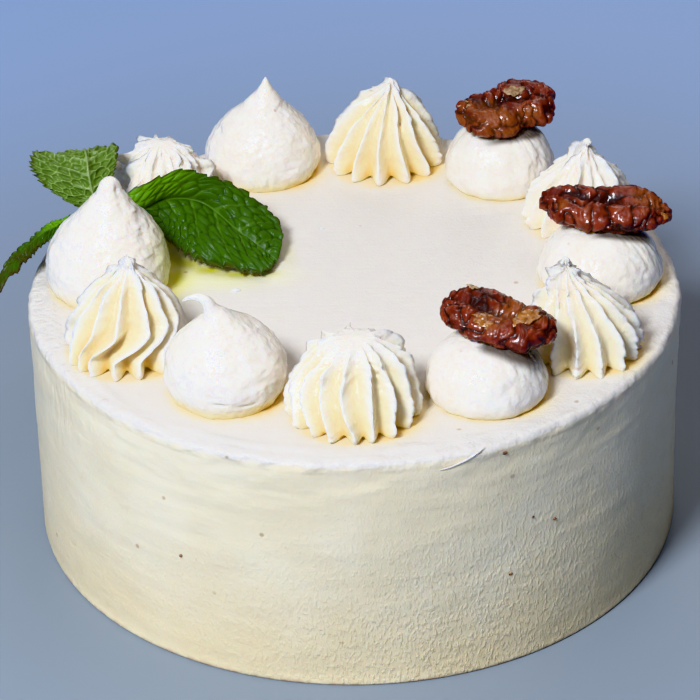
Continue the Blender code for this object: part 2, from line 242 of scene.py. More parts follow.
class Finish:
    """A material whose nodes are made by one method."""

    def __init__(self, name):
        self.material = bpy.data.materials.new(name)
        self.material.use_nodes = True
        self.tree = self.material.node_tree
        self.tree.nodes.clear()
        self.place = self.node("ShaderNodeTexCoord", {}, {}, "Object")

    def node(self, kind, settings, inputs, output=0):
        """Add one node from its kind, its settings, the values or links of its sockets, and an output."""
        node = self.tree.nodes.new(kind)
        for key, value in settings.items():
            setattr(node, key, value)
        for key, value in inputs.items():
            if value is None:
                continue
            if isinstance(value, Field):
                self.tree.links.new(value.socket, node.inputs[key])
            else:
                node.inputs[key].default_value = value
        return Field(self, node.outputs[output])

    def noise(self, size_mm, detail=2.0, roughness=0.5, place=None):
        return self.node("ShaderNodeTexNoise", {}, {
            "Vector": place or self.place, "Scale": 1000.0 / size_mm, "Detail": detail,
            "Roughness": roughness}, "Fac")

    def cells(self, size_mm):
        """Distance to the nearest of many scattered points."""
        return self.node("ShaderNodeTexVoronoi", {"feature": "F1"}, {
            "Vector": self.place, "Scale": 1000.0 / size_mm}, "Distance")

    def stored(self, name):
        """A value kept on the mesh's points."""
        return self.node("ShaderNodeAttribute", {"attribute_name": name}, {}, "Fac")

    def axis(self, letter):
        return self.node("ShaderNodeSeparateXYZ", {}, {0: self.place}, letter)

    def stretched(self, factors):
        return self.node("ShaderNodeVectorMath", {"operation": "MULTIPLY"}, {0: self.place, 1: factors})

    def mix(self, share, first, second):
        """Blend two colours, the second by its share."""
        first = (*first, 1.0) if isinstance(first, tuple) else first
        second = (*second, 1.0) if isinstance(second, tuple) else second
        return self.node("ShaderNodeMix", {"data_type": "RGBA"}, {0: share, 6: first, 7: second}, 2)

    def relief(self, height, depth_mm, strength=1.0, under=None):
        """A bump of the given depth, laid over another one."""
        return self.node("ShaderNodeBump", {}, {
            "Height": height, "Distance": depth_mm * MM, "Strength": strength, "Normal": under}, "Normal")

    def surface(self, **inputs):
        """Close the material with one Principled surface."""
        named = {key.replace("_", " "): value for key, value in inputs.items()}
        shader = self.node("ShaderNodeBsdfPrincipled", {}, named, "BSDF")
        out = self.tree.nodes.new("ShaderNodeOutputMaterial")
        self.tree.links.new(shader.socket, out.inputs["Surface"])
        return self.material


# ---------------------------------------------------------------- finishes

# How far red, green and blue light wander in the cream, as shares.
CREAM_SCATTER = (1.0, 0.72, 0.36)
CREAM_IOR = 1.45


def cream_specks(finish, size_mm, share):
    """Sparse tiny specks, as of vanilla or banana."""
    distance = finish.cells(size_mm)
    pick = finish.noise(size_mm * 2.2, 1.0)
    return (1.0 - distance.between(0.05, 0.11)) * pick.between(share, share + 0.04)


def coat_finish():
    """Smooth spread cream: satin, drag marks, and fine pits towards the lower right."""
    f = Finish("cream_coat")
    height = f.axis("Z")
    right = f.axis("X")
    mottle = f.noise(22.0, 3.0)
    white = f.mix(mottle.between(0.35, 0.7), (0.84, 0.73, 0.505), (0.875, 0.78, 0.575))
    # Colour, from the foot up to the rim and then the marks on it.
    # Painted warm reflection: the coat is warmer towards its foot, standing for warm light thrown up onto
    # it.
    low = 1.0 - height.between(0.004, 0.036)
    painted_warmth = f.mix(low * 0.45, white, (0.90, 0.72, 0.41))
    # Painted sky reflection and shade: the top is greyer and cooler than the side.
    top = height.between(0.0686, 0.0694)
    painted_cool_top = f.mix(top * 0.9, painted_warmth, (0.685, 0.645, 0.60))
    # Painted shade: a greyer, cooler band along the rim of the top.
    rim = f.mix(f.stored("rim") * 0.75, painted_cool_top, (0.685, 0.655, 0.615))
    # Painted shade: golden tone close round each topping, strongest on the side away from the key light.
    beside = f.stored("contact_shade")
    contact_shade = f.mix(beside.between(0.0, 0.6) * 0.6, rim, (0.90, 0.74, 0.38))
    contact_shade = f.mix(beside.between(0.4, 1.0) * 0.85, contact_shade, (0.90, 0.62, 0.17))
    # Painted green light and painted green shade beside and under the big leaf.
    tinted = f.mix(f.stored("leaf_glow"), contact_shade, (0.86, 0.86, 0.42))
    tinted = f.mix(f.stored("leaf_shade"), tinted, (0.58, 0.54, 0.004))
    specks = cream_specks(f, 8.0, 0.55)
    speckled = f.mix(specks * 0.6, tinted, (0.40, 0.22, 0.10))
    smudges = f.noise(5.0, 3.0, 0.6).between(0.62, 0.74) * (1.0 - height.between(0.045, 0.066))
    speckled = f.mix(smudges * 0.2, speckled, (0.60, 0.49, 0.36))
    crumbs = (1.0 - height.between(0.0, 0.0019)) * f.noise(3.0, 3.0).between(0.38, 0.62)
    colour = f.mix(crumbs * 0.75, speckled, (0.56, 0.34, 0.22))
    # Relief: pits, spatula drags, scratches on the left and a ragged upper edge.
    pit_zone = (right.between(-0.06, 0.06) * 0.75 + 0.25) * (1.25 - height.between(0.0, 0.066))
    upright = f.stretched((1.0, 1.0, 0.55))
    pits = f.noise(0.95, 3.0, 0.6, upright).between(0.42, 0.75)
    drag = f.noise(1.6, 2.0, 0.55, f.stretched((0.18, 0.18, 1.0)))
    fine = f.noise(0.55, 2.0, 0.6)
    sweep = f.noise(1.5, 2.0, 0.55, f.stretched((0.09, 1.0, 0.0)))
    relief = f.relief(fine, 0.10, 0.5)
    relief = f.relief(sweep * top, 0.16, 0.6, relief)
    relief = f.relief(drag, 0.12, 0.6, relief)
    scratch_zone = (1.0 - right.between(-0.082, -0.055)) * height.between(0.035, 0.062)
    scratches = f.noise(1.9, 3.0, 0.6, f.stretched((1.0, 1.0, 0.35)))
    relief = f.relief(scratches * scratch_zone, 0.5, 1.0, relief)
    relief = f.relief(pits * pit_zone, 0.30, 0.9, relief)
    edge = (right ** 2.0 + f.axis("Y") ** 2.0) ** 0.5
    edge = edge.between(0.0855, 0.0875) * height.between(0.0665, 0.0685)
    relief = f.relief(f.noise(2.4, 2.0, 0.5) * edge, 0.40, 0.9, relief)
    return f.surface(Base_Color=colour, Roughness=f.noise(5.0).between(-0.8, 2.0), Normal=relief,
                     Subsurface_Weight=0.35, Subsurface_Scale=0.0025, Subsurface_Radius=CREAM_SCATTER,
                     IOR=CREAM_IOR)


def piped_finish():
    """Whipped cream: nearly white, painted warm shade in hollows, painted leaf light, painted shadow under
    a kernel.
    """
    f = Finish("piped_cream")
    mottle = f.noise(6.0, 3.0)
    white = f.mix(mottle.between(0.3, 0.75), (0.865, 0.80, 0.70), (0.90, 0.85, 0.775))
    # Painted warm shade: butter-yellow in the hollows and low on each piece, deep yellow where it is
    # darkest.
    painted_warm_shade = f.stored("painted_warm_shade")
    butter_shade = f.mix(painted_warm_shade.between(0.02, 0.5), white, (0.90, 0.785, 0.49))
    deep_warm_shade = f.mix(painted_warm_shade.between(0.45, 1.0), butter_shade, (0.88, 0.64, 0.22))
    specks = cream_specks(f, 6.5, 0.6)
    # Painted green light from the big leaf.
    leafy = f.mix(f.stored("leaf_glow"), deep_warm_shade, (0.80, 0.84, 0.36))
    speckled = f.mix(specks * 0.5, leafy, (0.55, 0.34, 0.18))
    # Painted shadow: dark brown on the cream just under a kernel.
    colour = f.mix(f.stored("kernel_shade") * 0.85, speckled, (0.055, 0.028, 0.012))
    grain = f.noise(0.7, 3.0, 0.6)
    peel = f.noise(1.9, 2.0, 0.5).between(0.42, 0.72)
    dents = f.noise(3.6, 2.0, 0.5).between(0.40, 0.75)
    relief = f.relief(grain, 0.09, 0.5)
    relief = f.relief(peel, 0.14, 0.5, relief)
    relief = f.relief(dents, 0.26, 0.6, relief)
    return f.surface(Base_Color=colour, Roughness=0.26, Normal=relief, Subsurface_Weight=0.55,
                     Subsurface_Scale=0.0024, Subsurface_Radius=CREAM_SCATTER, IOR=CREAM_IOR)


def pecan_finish():
    """Candied kernel: dark red-brown in its creases, redder on its folds, amber under thick candy."""
    f = Finish("candied_pecan")
    ridge = f.stored("ridge")
    tone = f.noise(4.5, 3.0, 0.6)
    red = f.mix(tone.between(0.35, 0.65), (0.105, 0.012, 0.006), (0.225, 0.036, 0.014))
    folds = f.mix(ridge.between(0.15, 0.8), (0.026, 0.005, 0.003), red)
    # Lighter patches on the tops of the folds.
    fold_top_patches = ridge.between(0.75, 1.0) * f.noise(2.4, 2.0).between(0.45, 0.7) * 0.3
    lighter_fold_tops = f.mix(fold_top_patches, folds, (0.40, 0.15, 0.07))
    amber = f.stored("candy").between(0.2, 0.8) * tone.between(0.25, 0.6) * (ridge * 0.6 + 0.3)
    colour = f.mix(amber, lighter_fold_tops, (0.245, 0.068, 0.015))
    grain = f.noise(0.9, 3.0, 0.6)
    relief = f.relief(grain, 0.3, 0.8)
    return f.surface(Base_Color=colour, Roughness=grain.between(0.2, 0.8) * 0.2 + 0.30, Normal=relief,
                     Coat_Weight=tone.between(0.35, 0.65) * 0.6 + 0.1, Coat_Roughness=0.04,
                     Specular_IOR_Level=0.32)


def papery_finish():
    """Dry tan skin that peels off a kernel."""
    f = Finish("papery_skin")
    tone = f.noise(1.4, 3.0, 0.6)
    colour = f.mix(tone.between(0.35, 0.68), (0.48, 0.33, 0.19), (0.22, 0.12, 0.05))
    return f.surface(Base_Color=colour, Roughness=0.55, Normal=f.relief(f.noise(0.6, 2.0), 0.08, 0.6))


def amber_finish():
    """Set candy with trapped crumbs."""
    f = Finish("amber_candy")
    tone = f.noise(1.8, 3.0, 0.6)
    colour = f.mix(tone.between(0.35, 0.68), (0.40, 0.17, 0.042), (0.20, 0.065, 0.014))
    return f.surface(Base_Color=colour, Roughness=0.2, Normal=f.relief(f.noise(0.9, 3.0), 0.35, 0.8),
                     Coat_Weight=0.8, Coat_Roughness=0.05)


def mint_finish(name, blade, bright, vein, fold_lobe):
    """One face of a mint leaf: puckered blade with paler veins, and painted light and shade that follow the
    pucker.
    """
    f = Finish(name)
    tone = f.noise(5.0, 3.0, 0.6)
    # Painted light and shade: the colour follows the pucker, from its creases to its tops.
    pucker_light_and_shade = f.stored("pillow").between(0.0, 0.55) * 0.75 + tone.between(0.4, 0.7) * 0.25
    green = f.mix(pucker_light_and_shade, blade, bright)
    # Lighter green on the folded lobe near the base.
    green = f.mix(f.stored("fold_lobe") * 0.75, green, fold_lobe)
    veined = f.mix(f.stored("vein").between(0.35, 1.0) * 0.7, green, vein)
    dried = f.mix(f.stored("dry"), veined, (0.050, 0.036, 0.010))
    fine = f.noise(0.5, 2.0)
    return f.surface(Base_Color=dried, Roughness=tone.between(0.2, 0.8) * 0.12 + 0.34,
                     Normal=f.relief(fine, 0.08, 0.6), Specular_IOR_Level=0.22)


def stem_finish():
    f = Finish("mint_stem")
    share = f.axis("X").between(-0.070, -0.058)
    colour = f.mix(share, (0.075, 0.018, 0.02), (0.36, 0.38, 0.045))
    streaks = f.noise(0.7, 2.0, 0.5)
    return f.surface(Base_Color=f.mix(streaks.between(0.4, 0.7) * 0.5, colour, (0.16, 0.15, 0.03)),
                     Roughness=0.45, Normal=f.relief(streaks, 0.1, 0.6))


def crumb_finish():
    f = Finish("sponge_crumb")
    tone = f.noise(0.8, 2.0, 0.6)
    return f.surface(Base_Color=f.mix(tone.between(0.35, 0.65), (0.11, 0.05, 0.022), (0.36, 0.19, 0.085)),
                     Roughness=0.6, Normal=f.relief(tone, 0.1, 0.6))


def floor_finish():
    """Pale plain ground, with painted shade that makes it darker close to the cake."""
    f = Finish("pale_floor")
    away = (f.axis("X") ** 2.0 + f.axis("Y") ** 2.0) ** 0.5
    # Painted shade: darker and greyer close to the cake.
    colour = f.mix(away.between(0.10, 0.36), (0.235, 0.28, 0.335), (0.32, 0.455, 0.74))
    return f.surface(Base_Color=colour, Roughness=0.6)


# ---------------------------------------------------------------- shapes of the piped cream

# Outer edges as (radius, height), each as a share, from the tip down to the foot.
TALL_KISS = ((0.0, 1.0), (0.05, 0.955), (0.10, 0.9), (0.21, 0.81), (0.29, 0.76), (0.40, 0.68),
             (0.56, 0.6), (0.72, 0.51), (0.86, 0.4), (0.965, 0.26), (1.0, 0.16), (0.975, 0.07),
             (0.915, 0.0))
ROUND_KISS = ((0.0, 1.0), (0.085, 0.985), (0.15, 0.95), (0.19, 0.9), (0.25, 0.84), (0.33, 0.785),
              (0.47, 0.69), (0.63, 0.6), (0.79, 0.5), (0.92, 0.38), (0.99, 0.26), (1.0, 0.17),
              (0.97, 0.06), (0.915, 0.0))
MOUND = ((0.0, 1.0), (0.25, 0.99), (0.5, 0.93), (0.7, 0.81), (0.86, 0.63), (0.96, 0.42), (1.0, 0.24),
         (0.97, 0.08), (0.905, 0.0))
POINTED_ROSETTE = ((0.0, 1.0), (0.05, 0.96), (0.11, 0.905), (0.22, 0.84), (0.44, 0.73), (0.65, 0.6),
                   (0.83, 0.44), (0.95, 0.27), (1.0, 0.12), (0.975, 0.03), (0.94, 0.0))
BALL_TIPPED_ROSETTE = ((0.0, 1.0), (0.055, 0.985), (0.075, 0.955), (0.055, 0.915), (0.09, 0.875),
                       (0.2, 0.815), (0.42, 0.7), (0.68, 0.56), (0.88, 0.38), (0.98, 0.2), (1.0, 0.1),
                       (0.975, 0.02), (0.94, 0.0))
KNOBBED_ROSETTE = ((0.0, 1.0), (0.055, 0.99), (0.085, 0.95), (0.09, 0.905), (0.15, 0.87), (0.21, 0.82),
                   (0.40, 0.72), (0.63, 0.6), (0.82, 0.44), (0.95, 0.27), (1.0, 0.12), (0.975, 0.03),
                   (0.94, 0.0))
FLAT_ROSETTE = ((0.0, 1.0), (0.12, 0.985), (0.25, 0.965), (0.44, 0.895), (0.64, 0.77), (0.83, 0.58),
                (0.95, 0.38), (1.0, 0.2), (0.985, 0.06), (0.94, 0.0))
# Into how many points an outline is divided before its rings are measured off.
CURVE_STEPS = 900


def place_and_size(node):
    """Centre, radius and height of a topping from its solid, with the foot on the cake."""
    low, high = (np.array(corner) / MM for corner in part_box(node))
    centre = 0.5 * (low + high)
    foot = low[2] - GAP
    return np.array([centre[0], centre[1], foot]), 0.5 * (high[1] - low[1]), high[2] - low[2]


def evenly_spaced(fine, steps, rows):
    """Values at equal distances along a finely divided curve, without its first point."""
    length = np.concatenate([[0.0], np.cumsum(steps)])
    wanted = np.linspace(0.0, length[-1], rows + 1)[1:]
    return [np.interp(wanted, length, column) for column in fine.T]


def edge_rows(edge, radius, height, rows):
    """Radius and height along a smooth outer edge, evenly spaced."""
    fine = curve_through([(r * radius, z * height) for r, z in edge], np.linspace(0.0, 1.0, CURVE_STEPS))
    return evenly_spaced(fine, np.hypot(*np.diff(fine, axis=0).T), rows)


def leaned(points, height, lean):
    """Lean the upper three quarters of a topping to one side."""
    share = smooth_step(0.25, 1.0, points[..., 2] / height)
    points[..., 0] += lean[0] * share
    points[..., 1] += lean[1] * share
    return points


def ring_angles(columns):
    return np.linspace(0.0, 2.0 * math.pi, columns, endpoint=False)


def turned_grid(edge, radius, height, rows, columns):
    """Radii, heights and angles of a turned shape, ready to be spread over each other."""
    radii, levels = edge_rows(edge, radius, height, rows)
    return radii[:, None], levels[:, None], ring_angles(columns)[None, :]


def round_points(radii, angles, levels):
    levels = levels + 0.0 * angles
    return np.stack([radii * np.cos(angles), radii * np.sin(angles), levels], axis=-1)


def foot_shade(points, height):
    """Warm tone low on a piece, more of it on the side away from the key light."""
    away = 0.75 + 0.25 * np.sin(np.arctan2(points[..., 1], points[..., 0]) + 1.2)
    share = points[..., 2] / height
    wide = 1.0 - smooth_step(0.0, 0.24, share)
    close = 1.0 - smooth_step(0.0, 0.10, share)
    return (0.55 * wide + 0.45 * close) * away


def widened(points, factor):
    """Scale points away from the upright axis."""
    points[..., 0] *= factor
    points[..., 1] *= factor
    return points


def dented(points, place, size, depth):
    """Push points in towards the upright axis around one place."""
    distance = np.linalg.norm((points - np.asarray(place)) / np.asarray(size), axis=-1)
    from_axis = np.maximum(np.hypot(points[..., 0], points[..., 1]), 1.0)
    return widened(points, 1.0 - depth * np.exp(-(distance ** 2)) / from_axis)


def cream_lumps(points, broad, middling, fine):
    """Lumps of three sizes, each given as (size, seed, height)."""
    lumps = layered_noise(points, broad[0], broad[1]) * broad[2]
    lumps = lumps + layered_noise(points, middling[0], middling[1]) * middling[2]
    return lumps + smooth_noise(points, fine[0], fine[1]) * fine[2]


# Dents and beads are (place, size, depth) in millimetres about the middle of the foot.
KISS_LOOKS = {
    "kiss_back": {
        "edge": TALL_KISS, "lean": (1.6, 0.0), "seed": 3, "lumps": 0.30, "rough_side": 0.22, "dents": (
        ((-13.2, -5.0, 14.0), (2.0, 5.0, 1.0), 0.7), ((7.0, -4.0, 21.5), (2.4, 3.0, 1.1), 0.8),
        ((2.0, -16.0, 3.5), (0.5, 2.0, 3.0), 0.7), ((9.0, -14.0, 6.5), (1.2, 2.0, 0.5), 0.4),
        ((6.4, -6.0, 17.0), (1.6, 3.0, 0.8), 0.45), ((-6.0, -8.0, 19.4), (3.0, 3.0, 0.7), 0.4))},
    "kiss_left": {
        "edge": ROUND_KISS, "lean": (1.8, 0.0), "seed": 5, "lumps": 0.28, "rough_side": 0.32, "dents": (
        ((2.6, -2.2, 30.6), (1.1, 1.6, 2.4), 0.9), ((9.6, -5.6, 17.2), (1.2, 2.4, 2.6), 0.8),
        ((3.6, -3.0, 26.0), (1.2, 2.0, 1.6), 0.5), ((-5.0, -15.0, 7.0), (1.1, 2.0, 0.45), 0.5))},
    "kiss_front": {
        "seed": 8, "lumps": 0.34, "rough_side": 0.28, "dents": (
        ((-1.0, -16.4, 5.4), (2.0, 3.0, 0.4), 0.8), ((6.2, -15.0, 4.4), (2.6, 3.0, 0.4), 0.8),
        ((1.5, -5.6, 20.2), (0.9, 2.0, 1.5), 0.5), ((-3.2, -2.4, 20.4), (1.0, 1.6, 1.0), -1.0),
        ((-2.4, -15.4, 7.6), (2.2, 3.0, 0.4), 0.35))},
}
# Axis of the bent neck as (x, height, radius), from the tip down to the shoulder.
HOOKED_NECK = ((-10.5, 27.0, 0.12), (-9.2, 27.9, 0.42), (-7.4, 28.3, 0.78), (-5.6, 28.1, 1.15),
               (-4.0, 26.9, 1.5), (-3.2, 25.2, 1.95), (-2.5, 23.7, 2.7), (-1.5, 22.2, 4.3))
HOOKED_SHOULDER = ((-0.9, 20.9, 6.2), (-0.4, 19.4, 8.2), (0.0, 17.6, 10.3), (0.0, 15.2, 12.7),
                   (0.0, 12.0, 15.0), (0.0, 9.0, 16.1), (0.0, 6.4, 16.3), (0.0, 4.0, 15.9),
                   (0.0, 1.8, 15.1), (0.0, 0.0, 14.4))
KISS_GRID = (118, 184)


def hooked_rings(rows, columns):
    """Rings along the bent axis of the front kiss, from its tip down to its foot."""
    fine = curve_through(HOOKED_NECK + HOOKED_SHOULDER, np.linspace(0.0, 1.0, CURVE_STEPS))
    steps = np.hypot(*np.diff(fine[:, 1:], axis=0).T) + np.abs(np.diff(fine[:, 0]))
    x, z, radius = evenly_spaced(fine, steps, rows)
    tangent = unit(np.stack([np.gradient(x), np.gradient(z)], axis=-1))
    flat = smooth_step(21.0, 25.0, z)[:, None]
    tangent = unit(tangent * flat + np.array([0.0, -1.0]) * (1.0 - flat))
    angles = ring_angles(columns)[None, :]
    across = radius[:, None] * np.cos(angles)
    points = np.stack([x[:, None] - tangent[:, 1:] * across, radius[:, None] * np.sin(angles),
                       z[:, None] + tangent[:, :1] * across], axis=-1)
    return points, radius[:, None], z[:, None]


def make_kiss(node, finish):
    looks = KISS_LOOKS[node]
    centre, radius, height = place_and_size(node)
    seed = looks["seed"]
    if node == "kiss_front":
        points, radii, levels = hooked_rings(*KISS_GRID)
    else:
        radii, levels, angles = turned_grid(looks["edge"], radius, height, *KISS_GRID)
        points = round_points(radii, angles, levels)
    around = np.arctan2(points[..., 1], points[..., 0])
    lumps = cream_lumps(points, (9.0, seed, looks["lumps"]), (3.2, seed + 40, 0.31), (1.5, seed + 44, 0.09))
    swirl = points * np.array([0.55, 0.55, 1.5]) + np.array([0.0, 0.0, 1.0]) * (around * 1.2)[..., None]
    rough = smooth_step(0.0, 1.0, np.cos(around + 0.35)) * smooth_step(0.15, 0.5, levels / height)
    lumps = lumps + layered_noise(swirl, 2.6, seed + 60) * looks["rough_side"] * (rough + 0.25)
    lumps = lumps * smooth_step(0.0, 0.3, 1.0 - levels / height)
    axis = points.mean(axis=1, keepdims=True)
    points = axis + (points - axis) * (1.0 + lumps / np.maximum(radii, 1.5))[..., None]
    for place, size, depth in looks["dents"]:
        points = dented(points, place, size, depth)
    if node != "kiss_front":
        points = leaned(points, height, looks["lean"])
    painted_warm_shade = 1.05 * foot_shade(points, height)
    glow = np.zeros(painted_warm_shade.shape)
    if node == "kiss_left":
        # Painted green light from the big leaf on the lower right of the kiss.
        beside_leaf = smooth_step(9.0, 17.0, points[..., 0]) * smooth_step(-16.0, -6.0, points[..., 1])
        glow = 0.75 * beside_leaf * (1.0 - smooth_step(8.0, 26.0, points[..., 2]))
    mesh = closed_rings(node + "_cream", points + centre, {"painted_warm_shade": painted_warm_shade, "leaf_glow": glow})
    return add_piece(node + "_cream", mesh, [finish], "piped_cream", node)


def evenly(first, count):
    return tuple(first + 360.0 * k / count for k in range(count))


# "foot" and "waist" are the bearings of the ridges in degrees, at the foot and above the shares of
# height in "swing" over which they turn. "depth" is the valleys' depth as a share of the radius,
# the warmth entry deepens the painted warm shade in the valleys, "torn", "toothed" and "knobs"
# roughen the ridges in millimetres, and the tearing starts at the share of height in "torn_from".
ROSETTE_LOOKS = {
    "rosette_back": {
        "edge": POINTED_ROSETTE, "swing": (0.0, 0.6), "depth": 0.27, "lean": (2.2, 0.0), "seed": 11,
        "painted_warmth": 1.15, "torn": 1.4, "toothed": 0.3, "knobs": 0.25, "torn_from": 0.6,
        "foot": (-149, -124, -95, -66, -39, -13, 14, 42, 68, 96, 124, 152, 181),
        "waist": (-142, -118, -98, -75, -52, -26, 4, 34, 62, 92, 122, 152, 184)},
    "rosette_right_back": {
        "edge": BALL_TIPPED_ROSETTE, "swing": (0.0, 0.6), "depth": 0.26, "lean": (1.9, 0.0), "seed": 12,
        "painted_warmth": 0.4, "torn": 2.0, "toothed": 0.6, "knobs": 0.5, "torn_from": 0.45,
        "foot": evenly(-160.0, 15), "waist": evenly(-152.0, 15)},
    "rosette_right_front": {
        "edge": KNOBBED_ROSETTE, "swing": (0.0, 0.7), "depth": 0.25, "lean": (-5.0, 1.0), "seed": 13,
        "painted_warmth": 0.75, "torn": 3.0, "toothed": 0.75, "knobs": 1.1, "torn_from": 0.55,
        "foot": (-124, -99, -74, -49, -24, -2, 22, 48, 74, 100, 128, 156, 184, 210),
        "waist": (-128, -101, -75, -50, -26, -8, 20, 46, 74, 100, 128, 156, 184, 208)},
    "rosette_front": {
        "edge": FLAT_ROSETTE, "swing": (0.05, 0.65), "depth": 0.25, "lean": (0.9, 1.0), "seed": 14,
        "painted_warmth": 1.1, "torn": 2.4, "toothed": 0.5, "knobs": 0.7, "torn_from": 0.70,
        "foot": (-148, -129, -111, -89, -74, -54, -33, -12, 16, 44, 74, 104, 134, 164, 190),
        "waist": (-176, -154, -127, -104, -74, -47, -24, 2, 26, 50, 76, 102, 128, 152, 168)},
    "rosette_left": {
        "edge": POINTED_ROSETTE, "swing": (0.17, 0.43), "depth": 0.32, "lean": (1.6, 0.5), "seed": 15,
        "painted_warmth": 1.25, "torn": 1.7, "toothed": 0.25, "knobs": 0.45, "torn_from": 0.66,
        "foot": (-150, -136, -122, -99, -76, -50, -22, 6, 34, 64, 96, 130, 172),
        "waist": (-153, -125, -97, -61, -36, -12, 17, 44, 72, 100, 128, 155, 181)},
    "rosette_left_back": {
        "edge": FLAT_ROSETTE, "swing": (0.1, 0.6), "depth": 0.20, "lean": (0.5, 0.5), "seed": 16,
        "painted_warmth": 0.4, "torn": 2.4, "toothed": 1.1, "knobs": 0.6, "torn_from": 0.3,
        "foot": evenly(-150.0, 20), "waist": evenly(-140.0, 20)},
}
RIDGE_COLUMNS = 19
ROSETTE_ROWS = 88


def ridge_bearings(looks, share):
    """For each point: its bearing, how near the crest it is, how wide its valley is, and its ridge."""
    climb = smooth_step(*looks["swing"], share)
    foot = np.array(looks["foot"], dtype=float)[None, :]
    waist = np.array(looks["waist"], dtype=float)[None, :]
    here = foot + (waist - foot) * climb
    ahead = np.concatenate([here[:, 1:], here[:, :1] + 360.0], axis=1)
    part = np.arange(RIDGE_COLUMNS) / RIDGE_COLUMNS
    gap = ahead - here
    bearing = here[:, :, None] + gap[:, :, None] * part
    low = 0.9 * (1.0 - smooth_step(0.02, 0.24, share))[:, :, None]
    sharp = (1.0 - np.sin(math.pi * part)) ** 1.15
    rounded = 0.5 + 0.5 * np.cos(2.0 * math.pi * part)
    crest = (1.0 - low) * sharp + low * rounded + 0.0 * bearing
    ridge = np.round(np.arange(len(looks["foot"]))[None, :, None] + part + 0.0 * bearing)
    ridge = ridge % len(looks["foot"])
    flat = (len(share), -1)
    width = (gap[:, :, None] + 0.0 * bearing) / 26.0
    return np.radians(bearing.reshape(flat)), crest.reshape(flat), width.reshape(flat), ridge.reshape(flat)


def make_rosette(node, finish):
    looks = ROSETTE_LOOKS[node]
    seed = looks["seed"]
    centre, radius, height = place_and_size(node)
    radii, levels = edge_rows(looks["edge"], radius, height, ROSETTE_ROWS)
    radii, levels = radii[:, None], levels[:, None]
    share = levels / height
    bearing, crest, width, ridge = ridge_bearings(looks, share)
    foot = 1.0 - smooth_step(0.0, 0.2, share)
    near_tip = smooth_step(0.0, 0.14, 1.0 - share)
    depth = looks["depth"] * np.clip(width, 0.55, 1.35) * near_tip * (1.0 - 0.15 * foot)
    start = round_points(radii, bearing, levels)
    high = smooth_step(looks["torn_from"] - 0.18, looks["torn_from"] + 0.14, share)
    high = high * smooth_step(0.0, 0.07, 1.0 - share)
    along = np.stack([ridge * 37.0, 0.0 * ridge, levels + 0.45 * radii + 0.0 * ridge], axis=-1)
    crest_only = crest ** 2
    teeth = layered_noise(along, 1.25, seed, 2) * looks["toothed"] * crest_only * near_tip
    tears = np.maximum(layered_noise(along, 2.6, seed + 3), -0.55)
    tears = tears * looks["torn"] * crest_only * high
    if node == "rosette_right_front":
        tears = tears * (0.55 - 0.45 * np.cos(bearing))
    swell = layered_noise(start, 11.0, seed + 5) * 0.35 * near_tip
    ripple = layered_noise(start, 3.4, seed + 6) * 0.20 * near_tip
    knobs = layered_noise(start, 2.4, seed + 12) * looks["knobs"] * smooth_step(0.58, 0.8, share)
    ripple = ripple + knobs * smooth_step(0.0, 0.03, 1.0 - share)
    out = radii * (1.0 - depth * (1.0 - crest)) + teeth + tears + swell + ripple
    sideways = layered_noise(along, 2.2, seed + 8) * looks["torn"] * 0.5 * crest_only * high
    wander = layered_noise(along, 8.0, seed + 9) * 0.35 * crest * near_tip
    bearing = bearing + (sideways + wander) / np.maximum(radii, 2.5)
    arch = 0.9 * (1.0 - crest) ** 2 * (1.0 - smooth_step(0.0, 0.09, share))
    points = round_points(np.maximum(out, 0.05), bearing, levels)
    points[..., 2] += arch + 0.45 * np.maximum(tears, 0.0)
    points = leaned(points, height, looks["lean"])
    # Painted warm shade in the valleys, more of it low down.
    valley = (1.0 - crest) * smooth_step(0.03, 0.35, 1.0 - share)
    painted_warm_shade = valley * (0.42 + 0.22 * (1.0 - smooth_step(0.15, 0.6, share)) + 0.36 * foot)
    mesh = closed_rings(node + "_cream", points + centre, {"painted_warm_shade": painted_warm_shade * looks["painted_warmth"]})
    return add_piece(node + "_cream", mesh, [finish], "piped_cream", node)


# ---------------------------------------------------------------- pecans and the mounds under them

PECAN_THICKNESS = 7.2
PECAN_GRID = (168, 116)
MOUND_GRID = (92, 170)
# Smooth candy patches are (along, across, reach) in millimetres from the middle of the kernel, and
# trims of its outline are (bearing, spread, share cut off). "shade" is how far the painted shadow on
# the cream round the kernel reaches.
PECAN_LOOKS = {
    "pecan_back": {
        "mound": "mound_back", "size": (29.6, 18.6), "turn": 24.0, "slope": -2.0, "roll": 17.0,
        "seed": 21, "groove": 1.1, "shade": 2.9,
        "trims": ((122.0, 26.0, 0.24), (-64.0, 20.0, 0.15), (60.0, 12.0, -0.05)),
        "candy": ((-9.0, -5.0, 4.6), (-2.5, -7.0, 4.2), (-12.5, 1.0, 3.6), (-5.5, 0.5, 2.6),
                  (5.0, -7.0, 2.6))},
    "pecan_right": {
        "mound": "mound_right", "size": (35.6, 16.6), "turn": -4.0, "slope": 3.0, "roll": 8.0,
        "seed": 22, "groove": 1.5, "shade": 3.2,
        "trims": ((-14.0, 6.0, 0.07), (150.0, 9.0, 0.06)),
        "candy": ((10.0, 2.0, 4.4), (14.5, 0.0, 3.2), (-13.0, -3.5, 2.0))},
    "pecan_front": {
        "mound": "mound_front", "size": (32.6, 17.0), "turn": -26.0, "slope": 5.0, "roll": 6.0,
        "seed": 23, "groove": 1.5, "shade": 5.4,
        "trims": ((-22.0, 8.0, 0.16), (36.0, 12.0, 0.06)),
        "candy": ((4.5, 3.5, 4.6), (0.0, -4.0, 4.2), (9.0, 2.0, 3.0))},
}


